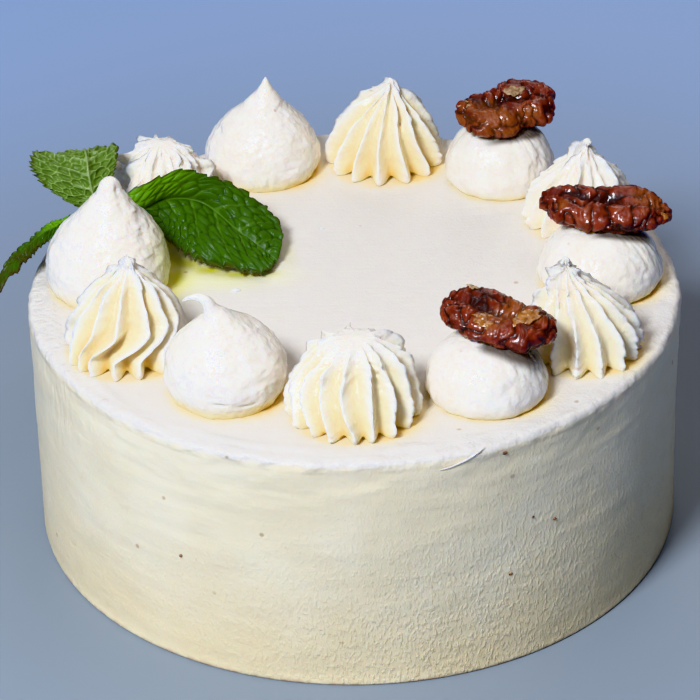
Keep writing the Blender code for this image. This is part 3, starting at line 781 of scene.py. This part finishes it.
def pecan_matrix(node):
    looks = PECAN_LOOKS[node]
    low, high = (np.array(corner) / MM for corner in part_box(node))
    turning = Matrix.Rotation(math.radians(looks["turn"]), 4, "Z")
    sloping = Matrix.Rotation(math.radians(looks["slope"]), 4, "Y")
    rolling = Matrix.Rotation(math.radians(looks["roll"]), 4, "X")
    return Matrix.Translation(Vector(0.5 * (low + high))) @ turning @ sloping @ rolling


def through(matrix, points):
    table = np.array(matrix)
    return points @ table[:3, :3].T + table[:3, 3]


def pecan_surface(looks, along, across, up):
    """Points of the kernel, how much each stands out, and its candy, from places on a unit ball."""
    length, width = looks["size"]
    seed = looks["seed"]
    flat = np.stack([along * 0.5 * length, across * 0.5 * width, up * 3.6], axis=-1)
    warp = layered_noise(flat, 6.0, seed)
    sway = 0.9 * np.sin(2.1 * along + seed) + 0.6 * warp
    groove = np.exp(-(((across * 0.5 * width - sway) / 1.5) ** 2)) * (1.0 - along ** 4) * (up > 0.0)
    rim = np.exp(-(((np.abs(across) - 0.6) / 0.3) ** 2)) * (up > 0.0)
    bent = flat * np.array([1.0, 0.75, 0.9]) + 1.6 * np.stack([warp, -warp, 0.0 * warp], axis=-1)
    folds = np.abs(smooth_noise(bent, 2.5, seed + 3))
    fine = np.abs(smooth_noise(bent, 1.0, seed + 5))
    bumps = 1.0 - np.exp(-folds / 0.24)
    candy = np.zeros(along.shape)
    for place_x, place_y, reach in looks["candy"]:
        candy += np.exp(-((flat[..., 0] - place_x) ** 2 + (flat[..., 1] - place_y) ** 2) / reach ** 2)
    candy = np.clip(candy, 0.0, 1.0) * (up > -0.2)
    edge_place = np.stack([along * 3.2, np.sign(across) * 5.0, 0.0 * along], axis=-1)
    outline = 1.0 + 0.10 * smooth_noise(edge_place, 1.0, seed + 6)
    bearing = np.degrees(np.arctan2(across * width, along * length))
    for middle, spread, share in looks["trims"]:
        off = (bearing - middle + 180.0) % 360.0 - 180.0
        outline = outline * (1.0 - share * np.exp(-((off / spread) ** 2)))
    x = 0.5 * length * along * (0.35 + 0.65 * outline)
    y = 0.5 * width * across * outline
    z = 0.5 * PECAN_THICKNESS * up * (1.0 + 0.22 * rim) - looks["groove"] * groove * up
    points = np.stack([x, y, z], axis=-1)
    outward = unit(np.stack([along * 0.3, across, up * 1.6], axis=-1))
    rough = (1.0 - 0.15 * candy) * smooth_step(0.0, 0.5, 1.0 - np.abs(along) ** 6 + 0.4)
    push = rough * (1.15 * bumps + 0.5 * fine - 0.78) + 0.45 * layered_noise(flat, 5.0, seed + 9)
    points = points + outward * push[..., None]
    ridge = np.clip(1.1 * bumps + 0.35 * fine - 0.45 * groove - 0.10, 0.0, 1.0)
    return points, ridge, candy


def make_pecan(node, finish):
    looks = PECAN_LOOKS[node]
    rows, columns = PECAN_GRID
    angle = np.linspace(0.0, math.pi, rows + 2)[1:-1][:, None]
    round_angle = ring_angles(columns)[None, :]
    along = np.cos(angle) + 0.0 * round_angle
    reach = (1.0 - np.abs(along) ** 4.0) ** 0.45
    across = reach * np.cos(round_angle)
    up = reach * np.sin(round_angle)
    points, ridge, candy = pecan_surface(looks, along, across, up)
    points = through(pecan_matrix(node), points)
    mesh = closed_rings(node + "_kernel", points, {"ridge": ridge, "candy": candy})
    return add_piece(node + "_kernel", mesh, [finish], "candied_pecan", node)


# Loose bits on the kernels, as name, kernel, place along and across, height above the kernel's
# middle, length and width, turn, tilt, finish and seed.
PECAN_BITS = (
    ("papery_skin", "pecan_back", (3.6, 2.6), 4.2, (6.2, 4.6), 12.0, 8.0, "papery_skin", 61),
    ("shred_upper", "pecan_back", (-12.0, 3.2), 2.6, (3.8, 1.2), 150.0, 22.0, "papery_skin", 62),
    ("shred_lower", "pecan_back", (-10.6, 4.4), 2.9, (3.0, 1.1), 115.0, 30.0, "papery_skin", 63),
    ("candy_crust", "pecan_front", (-1.4, -5.0), 3.3, (6.6, 5.0), 20.0, 6.0, "amber_candy", 64),
    ("candy_star", "pecan_front", (8.0, -0.6), 4.0, (7.6, 5.4), 60.0, -6.0, "amber_candy", 67),
    ("candy_flake", "pecan_front", (-9.6, 5.4), 3.3, (3.0, 1.2), 10.0, 6.0, "papery_skin", 65),
    ("candy_chip", "pecan_right", (15.6, -4.6), 2.4, (2.2, 1.8), 0.0, 20.0, "amber_candy", 66),
)


def make_bit(row, finishes):
    """A thin ragged flake that clings to a kernel."""
    name, node, place, level, size, turn, tilt, finish, seed = row
    rings, columns = 9, 40
    share = np.concatenate([np.linspace(0.12, 1.0, rings), np.linspace(0.96, 0.12, rings)])[:, None]
    side = np.concatenate([np.ones(rings), -np.ones(rings)])[:, None]
    angles = ring_angles(columns)[None, :]
    ring_place = np.stack([np.cos(angles) * 1.5, np.sin(angles) * 1.5, 0.0 * angles], axis=-1)
    outline = 1.0 + 0.42 * layered_noise(ring_place, 0.8, seed) + 0.0 * share
    x = share * outline * np.cos(angles) * size[0] * 0.5
    y = share * outline * np.sin(angles) * size[1] * 0.5
    sheet = np.stack([x, y, 0.0 * x], axis=-1)
    thick = 0.30 * np.sqrt(np.maximum(1.04 - share ** 2, 0.0)) * side
    z = thick + 0.45 * layered_noise(sheet, 1.6, seed + 3) - 0.5 * (y / size[1]) ** 2 * size[1] * 0.6
    points = np.stack([x, y, z], axis=-1)
    spin = Matrix.Rotation(math.radians(turn), 4, "Z") @ Matrix.Rotation(math.radians(tilt), 4, "Y")
    points = through(spin, points) + np.array([place[0], place[1], level])
    points = through(pecan_matrix(node), points)
    mesh = closed_rings(node + "_" + name, points)
    return add_piece(node + "_" + name, mesh, [finishes[finish]], "candied_pecan")


def make_mound(node, finish):
    """The mound under a kernel, pressed in where the kernel lies."""
    looks = PECAN_LOOKS[node]
    mound, seed = looks["mound"], looks["seed"]
    centre, radius, height = place_and_size(mound)
    radii, levels, angles = turned_grid(MOUND, radius, height + 1.0, *MOUND_GRID)
    points = round_points(radii, angles, levels)
    lumps = cream_lumps(points, (9.0, seed + 70, 0.4), (3.4, seed + 80, 0.24), (1.5, seed + 84, 0.08))
    around = np.arctan2(points[..., 1], points[..., 0])
    upright_folds = np.stack([around * 14.0, 0.0 * around, points[..., 2] * 0.35], axis=-1)
    right = smooth_step(0.35, 1.0, np.cos(around + 0.25)) * smooth_step(0.15, 0.45, levels / height)
    folds = layered_noise(upright_folds, 2.2, seed + 85, 2)
    lumps = lumps - 0.4 * right * np.exp(-((folds / 0.3) ** 2))
    points = widened(points, 1.0 + lumps / np.maximum(radii, 3.0))
    painted_warm_shade = 1.05 * foot_shade(points, height)
    points = points + centre
    matrix = pecan_matrix(node)
    local = through(matrix.inverted(), points)
    length, width = looks["size"]
    size = (local[..., 0] / (0.49 * length)) ** 2 + (local[..., 1] / (0.48 * width)) ** 2
    underside = -3.3 * np.sqrt(np.maximum(1.0 - size, 0.0)) + 0.2
    ceiling = np.where(size < 1.0, underside, 8.0)
    local[..., 2] = np.minimum(local[..., 2], ceiling)
    # Painted shadow: the cream just beyond the kernel's edge on the mound's front right is darkened.
    outside = np.maximum(np.sqrt(size) - 1.0, 0.0) * 0.5 * width
    drop = np.maximum(-3.5 - local[..., 2], 0.0)
    lee = smooth_step(-0.1, 0.7, np.cos(around + 0.7))
    shade = lee * (1.0 - smooth_step(0.25 * looks["shade"], looks["shade"], outside + 0.6 * drop))
    points = through(matrix, local)
    mesh = closed_rings(mound + "_cream", points, {"painted_warm_shade": painted_warm_shade, "kernel_shade": shade})
    return add_piece(mound + "_cream", mesh, [finish], "piped_cream", mound)


# ---------------------------------------------------------------- mint sprig

LEAF_THICKNESS = 0.34
# Each leaf's front edge, midrib and back edge from base to tip. "upper_on" is the side, as a
# sign along the surface normal, that carries the dark upper face.
LEAF_LOOKS = {
    "mint_leaf_over_top": {
        "front": ((-66.9, 19.2, 83.0), (-59.4, 20.9, 78.2), (-51.8, 16.2, 75.1), (-45.7, 9.5, 73.2),
                  (-33.7, 3.8, 72.2), (-24.9, 3.4, 71.8), (-21.4, 10.2, 71.6)),
        "midrib": ((-66.9, 20.0, 83.5), (-59.9, 20.0, 83.0), (-52.4, 27.3, 82.6), (-42.2, 28.6, 80.4),
                   (-32.2, 18.9, 76.6), (-25.5, 13.8, 73.6), (-21.4, 10.4, 71.8)),
        "back": ((-66.9, 20.9, 84.6), (-60.2, 21.8, 90.0), (-49.2, 27.9, 91.8), (-39.4, 30.9, 87.4),
                 (-26.7, 30.5, 79.6), (-20.3, 22.7, 74.2), (-20.8, 11.2, 72.0)),
        "bulge": (1.6, 1.2), "curl": (-0.3, 0.5), "veins": 9, "teeth": 15, "pucker": 0.85, "cell": 2.7,
        "veining": 0.6, "seed": 31, "dry": 0.0, "upper_on": 1},
    "mint_leaf_standing": {
        "front": ((-71.1, 23.0, 81.2), (-78.0, 23.4, 83.1), (-84.6, 25.0, 86.8), (-89.8, 27.5, 91.3),
                  (-90.4, 30.5, 94.1), (-88.9, 34.0, 95.4), (-82.9, 43.0, 88.8), (-77.0, 46.0, 86.4)),
        "midrib": ((-71.1, 23.2, 81.4), (-72.1, 24.0, 83.9), (-72.8, 25.2, 87.1), (-73.6, 27.0, 90.9),
                   (-74.1, 30.0, 93.7), (-75.0, 35.0, 94.2), (-75.8, 41.0, 90.7), (-76.7, 46.0, 86.4)),
        "back": ((-71.1, 23.2, 81.8), (-69.0, 24.0, 84.5), (-67.5, 25.5, 87.5), (-66.1, 28.0, 91.1),
                 (-65.5, 31.0, 94.3), (-65.6, 35.5, 96.0), (-70.0, 43.0, 90.5), (-76.1, 46.0, 86.7)),
        "bulge": (0.8, 0.8), "curl": (0.0, 0.0), "veins": 7, "teeth": 19, "pucker": 0.95, "cell": 2.7,
        "veining": 0.8, "seed": 32, "dry": 0.15, "upper_on": 1},
    "mint_leaf_over_rim": {
        "front": ((-78.1, 16.0, 83.4), (-81.9, 12.5, 80.1), (-85.1, 10.0, 79.7), (-88.2, 6.5, 78.9),
                  (-90.3, 3.0, 77.5), (-94.4, -1.5, 76.0), (-99.3, -7.0, 70.8)),
        "midrib": ((-78.3, 18.0, 82.6), (-82.1, 15.5, 81.6), (-85.3, 13.5, 81.2), (-88.8, 10.5, 79.8),
                   (-92.2, 7.0, 77.7), (-95.3, 2.5, 75.6), (-99.7, -6.0, 69.9)),
        "back": ((-78.3, 19.0, 82.4), (-82.3, 19.0, 80.9), (-85.7, 18.0, 79.9), (-89.6, 15.5, 77.2),
                 (-93.9, 12.0, 74.9), (-96.5, 7.0, 72.7), (-100.2, -5.0, 69.0)),
        "bulge": (0.7, 0.9), "curl": (0.9, 0.3), "veins": 8, "teeth": 17, "pucker": 1.1, "cell": 2.4,
        "veining": 0.8, "seed": 33, "dry": 0.65, "upper_on": -1},
}
LEAF_ROWS = 190
LEAF_COLUMNS = 74


def crease_cells(u, v, seed):
    """Distance to the nearest edge between scattered cells, in cell widths."""
    base_u, base_v = np.floor(u), np.floor(v)
    nearest = np.full(u.shape, 9.0)
    second = nearest.copy()
    for step_u in (-1, 0, 1):
        for step_v in (-1, 0, 1):
            cell = np.stack([base_u + step_u, base_v + step_v, 0.0 * base_u], axis=-1)
            centre_u = cell[..., 0] + 0.5 + 0.42 * lattice_values(cell, seed)
            centre_v = cell[..., 1] + 0.5 + 0.42 * lattice_values(cell, seed + 7)
            distance = np.hypot(u - centre_u, v - centre_v)
            second = np.minimum(second, np.maximum(distance, nearest))
            nearest = np.minimum(nearest, distance)
    return second - nearest


def leaf_grid(looks):
    """Points, surface normals and the values that colour one leaf."""
    seed = looks["seed"]
    share = np.linspace(0.0, 1.0, LEAF_ROWS + 1)[:, None] + np.zeros((1, LEAF_COLUMNS + 1))
    across = np.linspace(-1.0, 1.0, LEAF_COLUMNS + 1)[None, :] + np.zeros((LEAF_ROWS + 1, 1))
    spine = curve_through(looks["midrib"], share)
    front = curve_through(looks["front"], share)
    back = curve_through(looks["back"], share)
    edge = np.where((across < 0.0)[..., None], front, back)
    part = np.abs(across)
    saw = 1.0 - ((share * looks["teeth"] + 0.45 * np.sin(13.0 * share + seed)) % 1.0)
    saw = saw * (0.75 + 0.25 * np.sin(31.0 * share + seed))
    envelope = np.sin(math.pi * np.clip(share, 0.04, 0.99)) ** 0.5
    reach = 1.0 - 0.12 * part ** 5 * saw * envelope
    flat = spine + (edge - spine) * (part * reach)[..., None]
    ahead = curve_through(looks["midrib"], np.minimum(share + 0.01, 1.0))
    behind = curve_through(looks["midrib"], np.maximum(share - 0.01, 0.0))
    normal = unit(np.cross(unit(ahead - behind), unit(back - front)))
    bulge = np.where(across < 0.0, looks["bulge"][0], looks["bulge"][1])
    crest = 4.0 * part * (1.0 - part) * bulge * np.sin(math.pi * np.minimum(share * 1.1, 1.0))
    curl = np.where(across < 0.0, looks["curl"][0], looks["curl"][1]) * part ** 4
    run = share * looks["veins"] - 0.95 * part - 0.35 * part * part
    vein_line = np.abs((run % 1.0) - 0.5) * 2.0
    length = np.linalg.norm(np.diff(spine[:, 0], axis=0), axis=-1).sum()
    spacing = 0.5 * length / looks["veins"]
    vein = np.exp(-(((1.0 - vein_line) * spacing * 0.75 / 0.5) ** 2)) * (1.0 - 0.6 * part)
    half_width = np.linalg.norm(edge - spine, axis=-1)
    cell_u = 2.0 * run
    cell_v = part * half_width / looks["cell"] + np.where(across < 0.0, 40.0, 80.0)
    net = crease_cells(cell_u, cell_v, seed)
    pillow = 1.0 - (1.0 - np.clip(net / 0.62, 0.0, 1.0)) ** 2
    midrib = np.exp(-((part * half_width / 0.42) ** 2))
    lift = looks["pucker"] * (pillow - looks["veining"] * vein + 0.3 * layered_noise(flat, 3.0, seed))
    # The folded lobe near the base: lighter green and less puckered.
    fold_lobe = smooth_step(0.50, 0.28, share) * smooth_step(-0.12, 0.12, across)
    lift = lift * smooth_step(0.3, 1.6, part * half_width) * (1.0 - 0.5 * fold_lobe)
    waves = 0.55 * layered_noise(flat, 7.0, seed + 4) * part
    height = crest + curl + waves + looks["upper_on"] * (lift - 0.45 * midrib)
    points = flat + normal * height[..., None]
    strength = np.clip(0.9 * vein + midrib + 0.35 * (1.0 - smooth_step(0.0, 0.12, net)), 0.0, 1.0)
    patchy = np.clip(0.7 + layered_noise(flat, 2.6, 90), 0.0, 1.0)
    dry = looks["dry"] * smooth_step(0.2, 0.75, share) * patchy
    dry = np.clip(dry + 0.6 * smooth_step(0.88, 1.0, part), 0.0, 1.0)
    return points, normal, {"vein": strength, "pillow": pillow, "fold_lobe": fold_lobe, "dry": dry}


def make_leaf(node, upper, under):
    looks = LEAF_LOOKS[node]
    points, normal, tones = leaf_grid(looks)
    half = 0.5 * LEAF_THICKNESS
    rows, columns = points.shape[:2]
    layers = np.stack([points - normal * half, points + normal * half]).reshape(-1, 3)
    count = rows * columns
    below, above = (1, 0) if looks["upper_on"] > 0 else (0, 1)
    faces = []
    materials = []
    for i in range(rows - 1):
        for j in range(columns - 1):
            a = i * columns + j
            b, c, d = a + 1, a + columns + 1, a + columns
            faces.append((a, b, c, d))
            materials.append(below)
            faces.append((count + d, count + c, count + b, count + a))
            materials.append(above)
    border = list(range(columns))
    border += [i * columns + columns - 1 for i in range(1, rows)]
    border += [(rows - 1) * columns + j for j in range(columns - 2, -1, -1)]
    border += [i * columns for i in range(rows - 2, 0, -1)]
    for here, there in zip(border, border[1:] + border[:1]):
        faces.append((there, here, count + here, count + there))
        materials.append(1)
    both_faces = {key: np.tile(value.ravel(), 2) for key, value in tones.items()}
    mesh = mesh_from(node + "_blade", layers, faces, both_faces)
    mesh.polygons.foreach_set("material_index", materials)
    return add_piece(node + "_blade", mesh, [upper, under], "mint_leaf", node)


STEM_PATH = ((-55.2, 26.2, 75.4), (-59.0, 24.6, 79.0), (-64.6, 22.6, 82.2), (-70.6, 21.0, 83.4),
             (-76.6, 18.8, 83.2))


def rings_along(line, columns, radii):
    """Rings square to a line of points, and their outward directions; radii has a row for each point."""
    ahead = unit(np.gradient(line, axis=0))
    side = unit(np.cross(ahead, np.array([0.0, 0.0, 1.0])))
    above = np.cross(side, ahead)
    angles = ring_angles(columns)
    ring = np.cos(angles)[None, :, None] * side[:, None] + np.sin(angles)[None, :, None] * above[:, None]
    return line[:, None] + ring * radii[..., None], ring


def make_stem(finish):
    """A slightly square stalk that is thicker at its node."""
    rows, columns = 60, 24
    shares = np.linspace(0.0, 1.0, rows)
    square = 1.0 + 0.10 * np.cos(4.0 * ring_angles(columns))
    radius = 0.95 - 0.35 * shares + 0.3 * bump_at(shares, 0.42, 0.05)
    radii = radius[:, None] * square[None, :]
    mesh = closed_rings("mint_stem_stalk", rings_along(curve_through(STEM_PATH, shares), columns, radii)[0])
    return add_piece("mint_stem_stalk", mesh, [finish], "mint_stem", "mint_stem")


# ---------------------------------------------------------------- cake coat

CAKE_RADIUS = 90.0
CAKE_HEIGHT = 70.0
COAT_COLUMNS = 560


def coat_rows():
    """Radius and height of each ring of the coat, from the middle of the top to the underside."""
    top = np.concatenate([np.linspace(2.0, 76.0, 26), np.linspace(77.0, 87.6, 16)])
    rim = np.linspace(0.0, 0.5 * math.pi, 11)
    side = np.concatenate([np.linspace(67.8, 54.0, 20), np.linspace(53.0, 1.2, 44)])
    foot = np.linspace(0.0, 0.5 * math.pi, 4)
    radii = np.concatenate([top, 88.1 + 1.8 * np.sin(rim), np.full(side.shape, CAKE_RADIUS),
                            89.2 + 0.8 * np.cos(foot), [60.0, 20.0]])
    levels = np.concatenate([np.full(top.shape, CAKE_HEIGHT), 68.2 + 1.8 * np.cos(rim), side,
                             0.8 - 0.8 * np.sin(foot), [0.0, 0.0]])
    return radii[:, None], levels[:, None]


# Blotches of green light and green shade beside the big leaf, as (x, y, half width, half depth,
# strength).
LEAF_GLOWS = ((-46.0, 4.0, 6.0, 8.0, 0.7), (-36.0, 2.5, 12.0, 5.0, 0.55), (-24.0, 5.0, 8.0, 5.0, 0.4))
LEAF_SHADES = ((-53.6, 25.0, 3.8, 8.0, 1.0), (-51.4, 15.0, 3.6, 7.0, 1.0), (-49.6, 5.0, 3.0, 7.0, 1.0),
               (-50.0, -3.0, 2.0, 5.0, 0.6), (-46.5, 12.6, 3.8, 3.6, 1.0), (-40.0, 8.8, 5.0, 2.8, 1.0),
               (-32.0, 6.2, 6.0, 2.2, 0.9), (-24.6, 6.6, 3.6, 2.0, 0.6), (-19.0, 17.0, 2.4, 7.0, 0.35))


def leaf_tint(points):
    """How much painted green light and painted green shade the top has beside and beneath the big leaf."""
    tints = []
    for blotches in (LEAF_GLOWS, LEAF_SHADES):
        total = np.zeros(points.shape[:2])
        for x, y, half_width, half_depth, strength in blotches:
            away = ((points[..., 0] - x) / half_width) ** 2 + ((points[..., 1] - y) / half_depth) ** 2
            total = np.maximum(total, strength * np.exp(-away))
        tints.append(total)
    return tints


def painted_contact_shade(points, toppings):
    """Painted warm shade on the cream close round each topping, deepest on its right."""
    contact_shade = np.zeros(points.shape[:2])
    for centre, radius in toppings:
        east, north = points[..., 0] - centre[0], points[..., 1] - centre[1]
        distance = np.maximum(np.hypot(east, north) - radius + 1.2, 0.0)
        shaded = smooth_step(0.2, 1.0, np.cos(np.arctan2(north, east) + 0.1))
        near = np.exp(-distance / (1.0 + 1.7 * shaded))
        contact_shade = np.maximum(contact_shade, (0.5 + 0.5 * shaded) * near)
    return contact_shade


def make_coat(finish, toppings):
    radii, levels = coat_rows()
    angles = ring_angles(COAT_COLUMNS)[None, :]
    points = round_points(radii, angles, levels)
    upright = smooth_step(86.0, 89.7, radii) * smooth_step(0.0, 3.0, levels) + 0.0 * angles
    swell = np.sin(3.0 * angles + levels * 0.05) + 0.6 * np.sin(7.0 * angles - levels * 0.09)
    inward = -0.35 * (0.9 + 0.5 * swell)
    spread = 0.0 * angles * levels
    drag_place = np.stack([angles * 40.0 + spread, levels * 2.2 + spread, spread], axis=-1)
    inward = inward + 0.10 * layered_noise(drag_place, 7.0, 51) + 0.22 * layered_noise(points, 24.0, 52)
    near_rim = smooth_step(46.0, 66.0, levels)
    inward = inward + 0.22 * layered_noise(points * np.array([0.7, 0.7, 1.3]), 6.0, 57) * near_rim
    points = widened(points, 1.0 + upright * inward / CAKE_RADIUS)
    on_top = smooth_step(69.0, 69.9, levels) + 0.0 * angles
    band = bump_at(radii, 85.2 + 2.0 * smooth_noise(points, 14.0, 53), 2.2)
    band = band * (1.0 + 0.9 * layered_noise(points, 6.0, 58))
    lift = 0.10 * layered_noise(points, 30.0, 54) + 0.45 * band + 0.06 * layered_noise(points, 5.0, 55)
    lift = lift * on_top
    lip_place = np.stack([angles * CAKE_RADIUS + spread, levels * 1.4 + spread, spread], axis=-1)
    lip = np.maximum(layered_noise(lip_place, 4.0, 59), -0.35)
    lip = lip + 0.45 * layered_noise(lip_place, 1.9, 60, 2)
    from_front_left = np.where(angles < 1.0, angles, angles - 2.0 * math.pi) + 2.1
    lip = lip * (0.45 + 0.55 * np.exp(-((from_front_left / 0.9) ** 2)))
    ragged = bump_at(levels, 69.3, 1.3) * smooth_step(85.5, 88.3, radii)
    points = widened(points, 1.0 + 0.55 * lip * ragged / CAKE_RADIUS)
    points[..., 2] += np.minimum(lift + 0.35 * lip * ragged * on_top, 0.5)
    glow, shade = leaf_tint(points)
    # Where the painted shade band along the rim of the top lies.
    rim = smooth_step(78.0, 84.5, radii + 2.0 * layered_noise(points, 9.0, 56))
    rim = rim * smooth_step(67.6, 69.6, levels)
    mesh = closed_rings("cake_coat", points, {
        "contact_shade": painted_contact_shade(points, toppings) * on_top, "rim": rim,
        "leaf_glow": glow * on_top, "leaf_shade": shade * on_top})
    return add_piece("cake_coat", mesh, [finish], "cream_coat", "cake_body")


# ---------------------------------------------------------------- small bits of cream

# A thin wisp of cream laid over the rim, as points with a radius, all in millimetres.
WISP = ((20.6, -87.6, 66.4, 0.06), (22.8, -87.2, 66.8, 0.14), (25.4, -86.5, 67.5, 0.20),
        (28.5, -85.5, 68.6, 0.23), (30.5, -84.8, 69.8, 0.21), (32.3, -83.2, 70.2, 0.09))
# Nubs are name, middle, size and seed.
NUBS = (("nub_beside_leaf", (-32.8, -2.8, 70.1), (2.4, 1.7, 0.9), 81),
        ("nub_left_rim", (-85.2, -18.6, 69.7), (2.2, 1.8, 1.0), 82),
        ("nub_left_rim_low", (-83.6, -20.4, 69.9), (1.3, 1.0, 0.6), 83),
        ("nub_back", (-9.0, 31.0, 70.0), (1.5, 1.1, 0.5), 84))
# Cake crumbs caught in the coat, as name, middle, size and seed.
CRUMBS = (("crumb_rim", (37.4, -81.5, 67.3), (1.7, 0.8, 1.1), 91),
          ("crumb_side", (45.2, -77.4, 44.4), (0.8, 0.6, 0.6), 92),
          ("crumb_side_right", (50.9, -73.8, 41.2), (1.2, 0.8, 0.7), 93),
          ("crumb_side_low", (39.2, -80.6, 28.7), (1.9, 0.7, 0.9), 94),
          ("crumb_side_left", (-46.7, -76.5, 33.6), (0.9, 0.6, 0.9), 95))


def make_small_bits(rows, finish):
    """Lumpy little balls, flattened to their sizes."""
    near_pole, rings, columns = 0.12, 14, 22
    for name, middle, size, seed in rows:
        heights = np.cos(np.linspace(near_pole, math.pi - near_pole, rings))[:, None]
        ball = round_points(np.sqrt(1.0 - heights ** 2), ring_angles(columns)[None, :], heights)
        ball = ball * (1.0 + 0.3 * layered_noise(ball * 2.0, 1.6, seed))[..., None]
        mesh = closed_rings(name, ball * 0.5 * np.array(size) + np.array(middle))
        add_piece(name, mesh, [finish], "cream_coat")


def make_wisp(finish):
    rows, columns = 48, 12
    line = curve_through(WISP, np.linspace(0.0, 1.0, rows))
    radius = line[:, 3:]
    points, ring = rings_along(line[:, :3], columns, radius)
    points = points + ring * (0.25 * radius * layered_noise(points, 1.2, 80))[..., None]
    add_piece("rim_wisp", closed_rings("rim_wisp", points), [finish], "cream_coat")


# ---------------------------------------------------------------- scene


def add_camera():
    data = bpy.data.cameras.new("view_camera")
    data.sensor_width = FILM_WIDTH
    data.lens = CAMERA_LENS
    data.clip_start = 0.01
    camera = bpy.data.objects.new("view_camera", data)
    bpy.context.scene.collection.objects.link(camera)
    turn = Matrix.Rotation(math.radians(-CAMERA_YAW), 4, "Z")
    tilt = Matrix.Rotation(math.radians(90.0 - CAMERA_PITCH), 4, "X")
    roll = Matrix.Rotation(math.radians(CAMERA_ROLL), 4, "Z")
    camera.matrix_world = Matrix.Translation(CAMERA_PLACE) @ turn @ tilt @ roll
    bpy.context.scene.camera = camera


def add_area_light(name, azimuth, height, distance, size, power, colour):
    data = bpy.data.lights.new(name, "AREA")
    data.shape = "DISK"
    data.size = size
    data.energy = power
    data.color = colour
    lamp = bpy.data.objects.new(name, data)
    bpy.context.scene.collection.objects.link(lamp)
    around = math.radians(azimuth)
    above = math.radians(height)
    level = math.cos(above)
    offset = Vector((math.sin(around) * level, -math.cos(around) * level, math.sin(above)))
    lamp.location = Vector(LIGHT_AIM) + offset * distance
    lamp.rotation_euler = offset.to_track_quat("Z", "Y").to_euler()


def add_surroundings():
    world = bpy.data.worlds.new("studio")
    bpy.context.scene.world = world
    world.use_nodes = True
    backdrop = world.node_tree.nodes["Background"]
    backdrop.inputs["Color"].default_value = (*SKY_COLOUR, 1.0)
    backdrop.inputs["Strength"].default_value = SKY_STRENGTH
    add_area_light("key_light", KEY_AZIMUTH, KEY_HEIGHT, KEY_DISTANCE, KEY_SIZE, KEY_POWER, KEY_COLOUR)
    for row in FILL_LIGHTS:
        add_area_light(*row)
    half = 0.5 * FLOOR_SIZE
    corners = [(-half, -half, 0.0), (half, -half, 0.0), (half, half, 0.0), (-half, half, 0.0)]
    mesh = bpy.data.meshes.new("floor")
    mesh.from_pydata(corners, [], [(0, 1, 2, 3)])
    mesh.materials.append(floor_finish())
    floor = bpy.data.objects.new("floor", mesh)
    bpy.context.scene.collection.objects.link(floor)


def build():
    add_camera()
    add_surroundings()
    piped = piped_finish()
    nut = pecan_finish()
    bit_finishes = {"papery_skin": papery_finish(), "amber_candy": amber_finish()}
    upper = mint_finish("mint_leaf_upper", blade=(0.012, 0.042, 0.002), bright=(0.040, 0.112, 0.005),
                        vein=(0.11, 0.21, 0.04), fold_lobe=(0.125, 0.315, 0.012))
    under = mint_finish("mint_leaf_under", blade=(0.22, 0.32, 0.085), bright=(0.080, 0.150, 0.022),
                        vein=(0.30, 0.40, 0.16), fold_lobe=(0.10, 0.17, 0.025))
    nodes = [*KISS_LOOKS, *ROSETTE_LOOKS, *(looks["mound"] for looks in PECAN_LOOKS.values())]
    make_coat(coat_finish(), [place_and_size(node)[:2] for node in nodes])
    make_wisp(piped)
    make_small_bits(NUBS, piped)
    make_small_bits(CRUMBS, crumb_finish())
    for node in KISS_LOOKS:
        make_kiss(node, piped)
    for node in ROSETTE_LOOKS:
        make_rosette(node, piped)
    for node in PECAN_LOOKS:
        make_mound(node, piped)
        make_pecan(node, nut)
    for row in PECAN_BITS:
        make_bit(row, bit_finishes)
    for node in LEAF_LOOKS:
        make_leaf(node, upper, under)
    make_stem(stem_finish())
    bpy.context.scene.view_settings.view_transform = "Khronos PBR Neutral"


build()
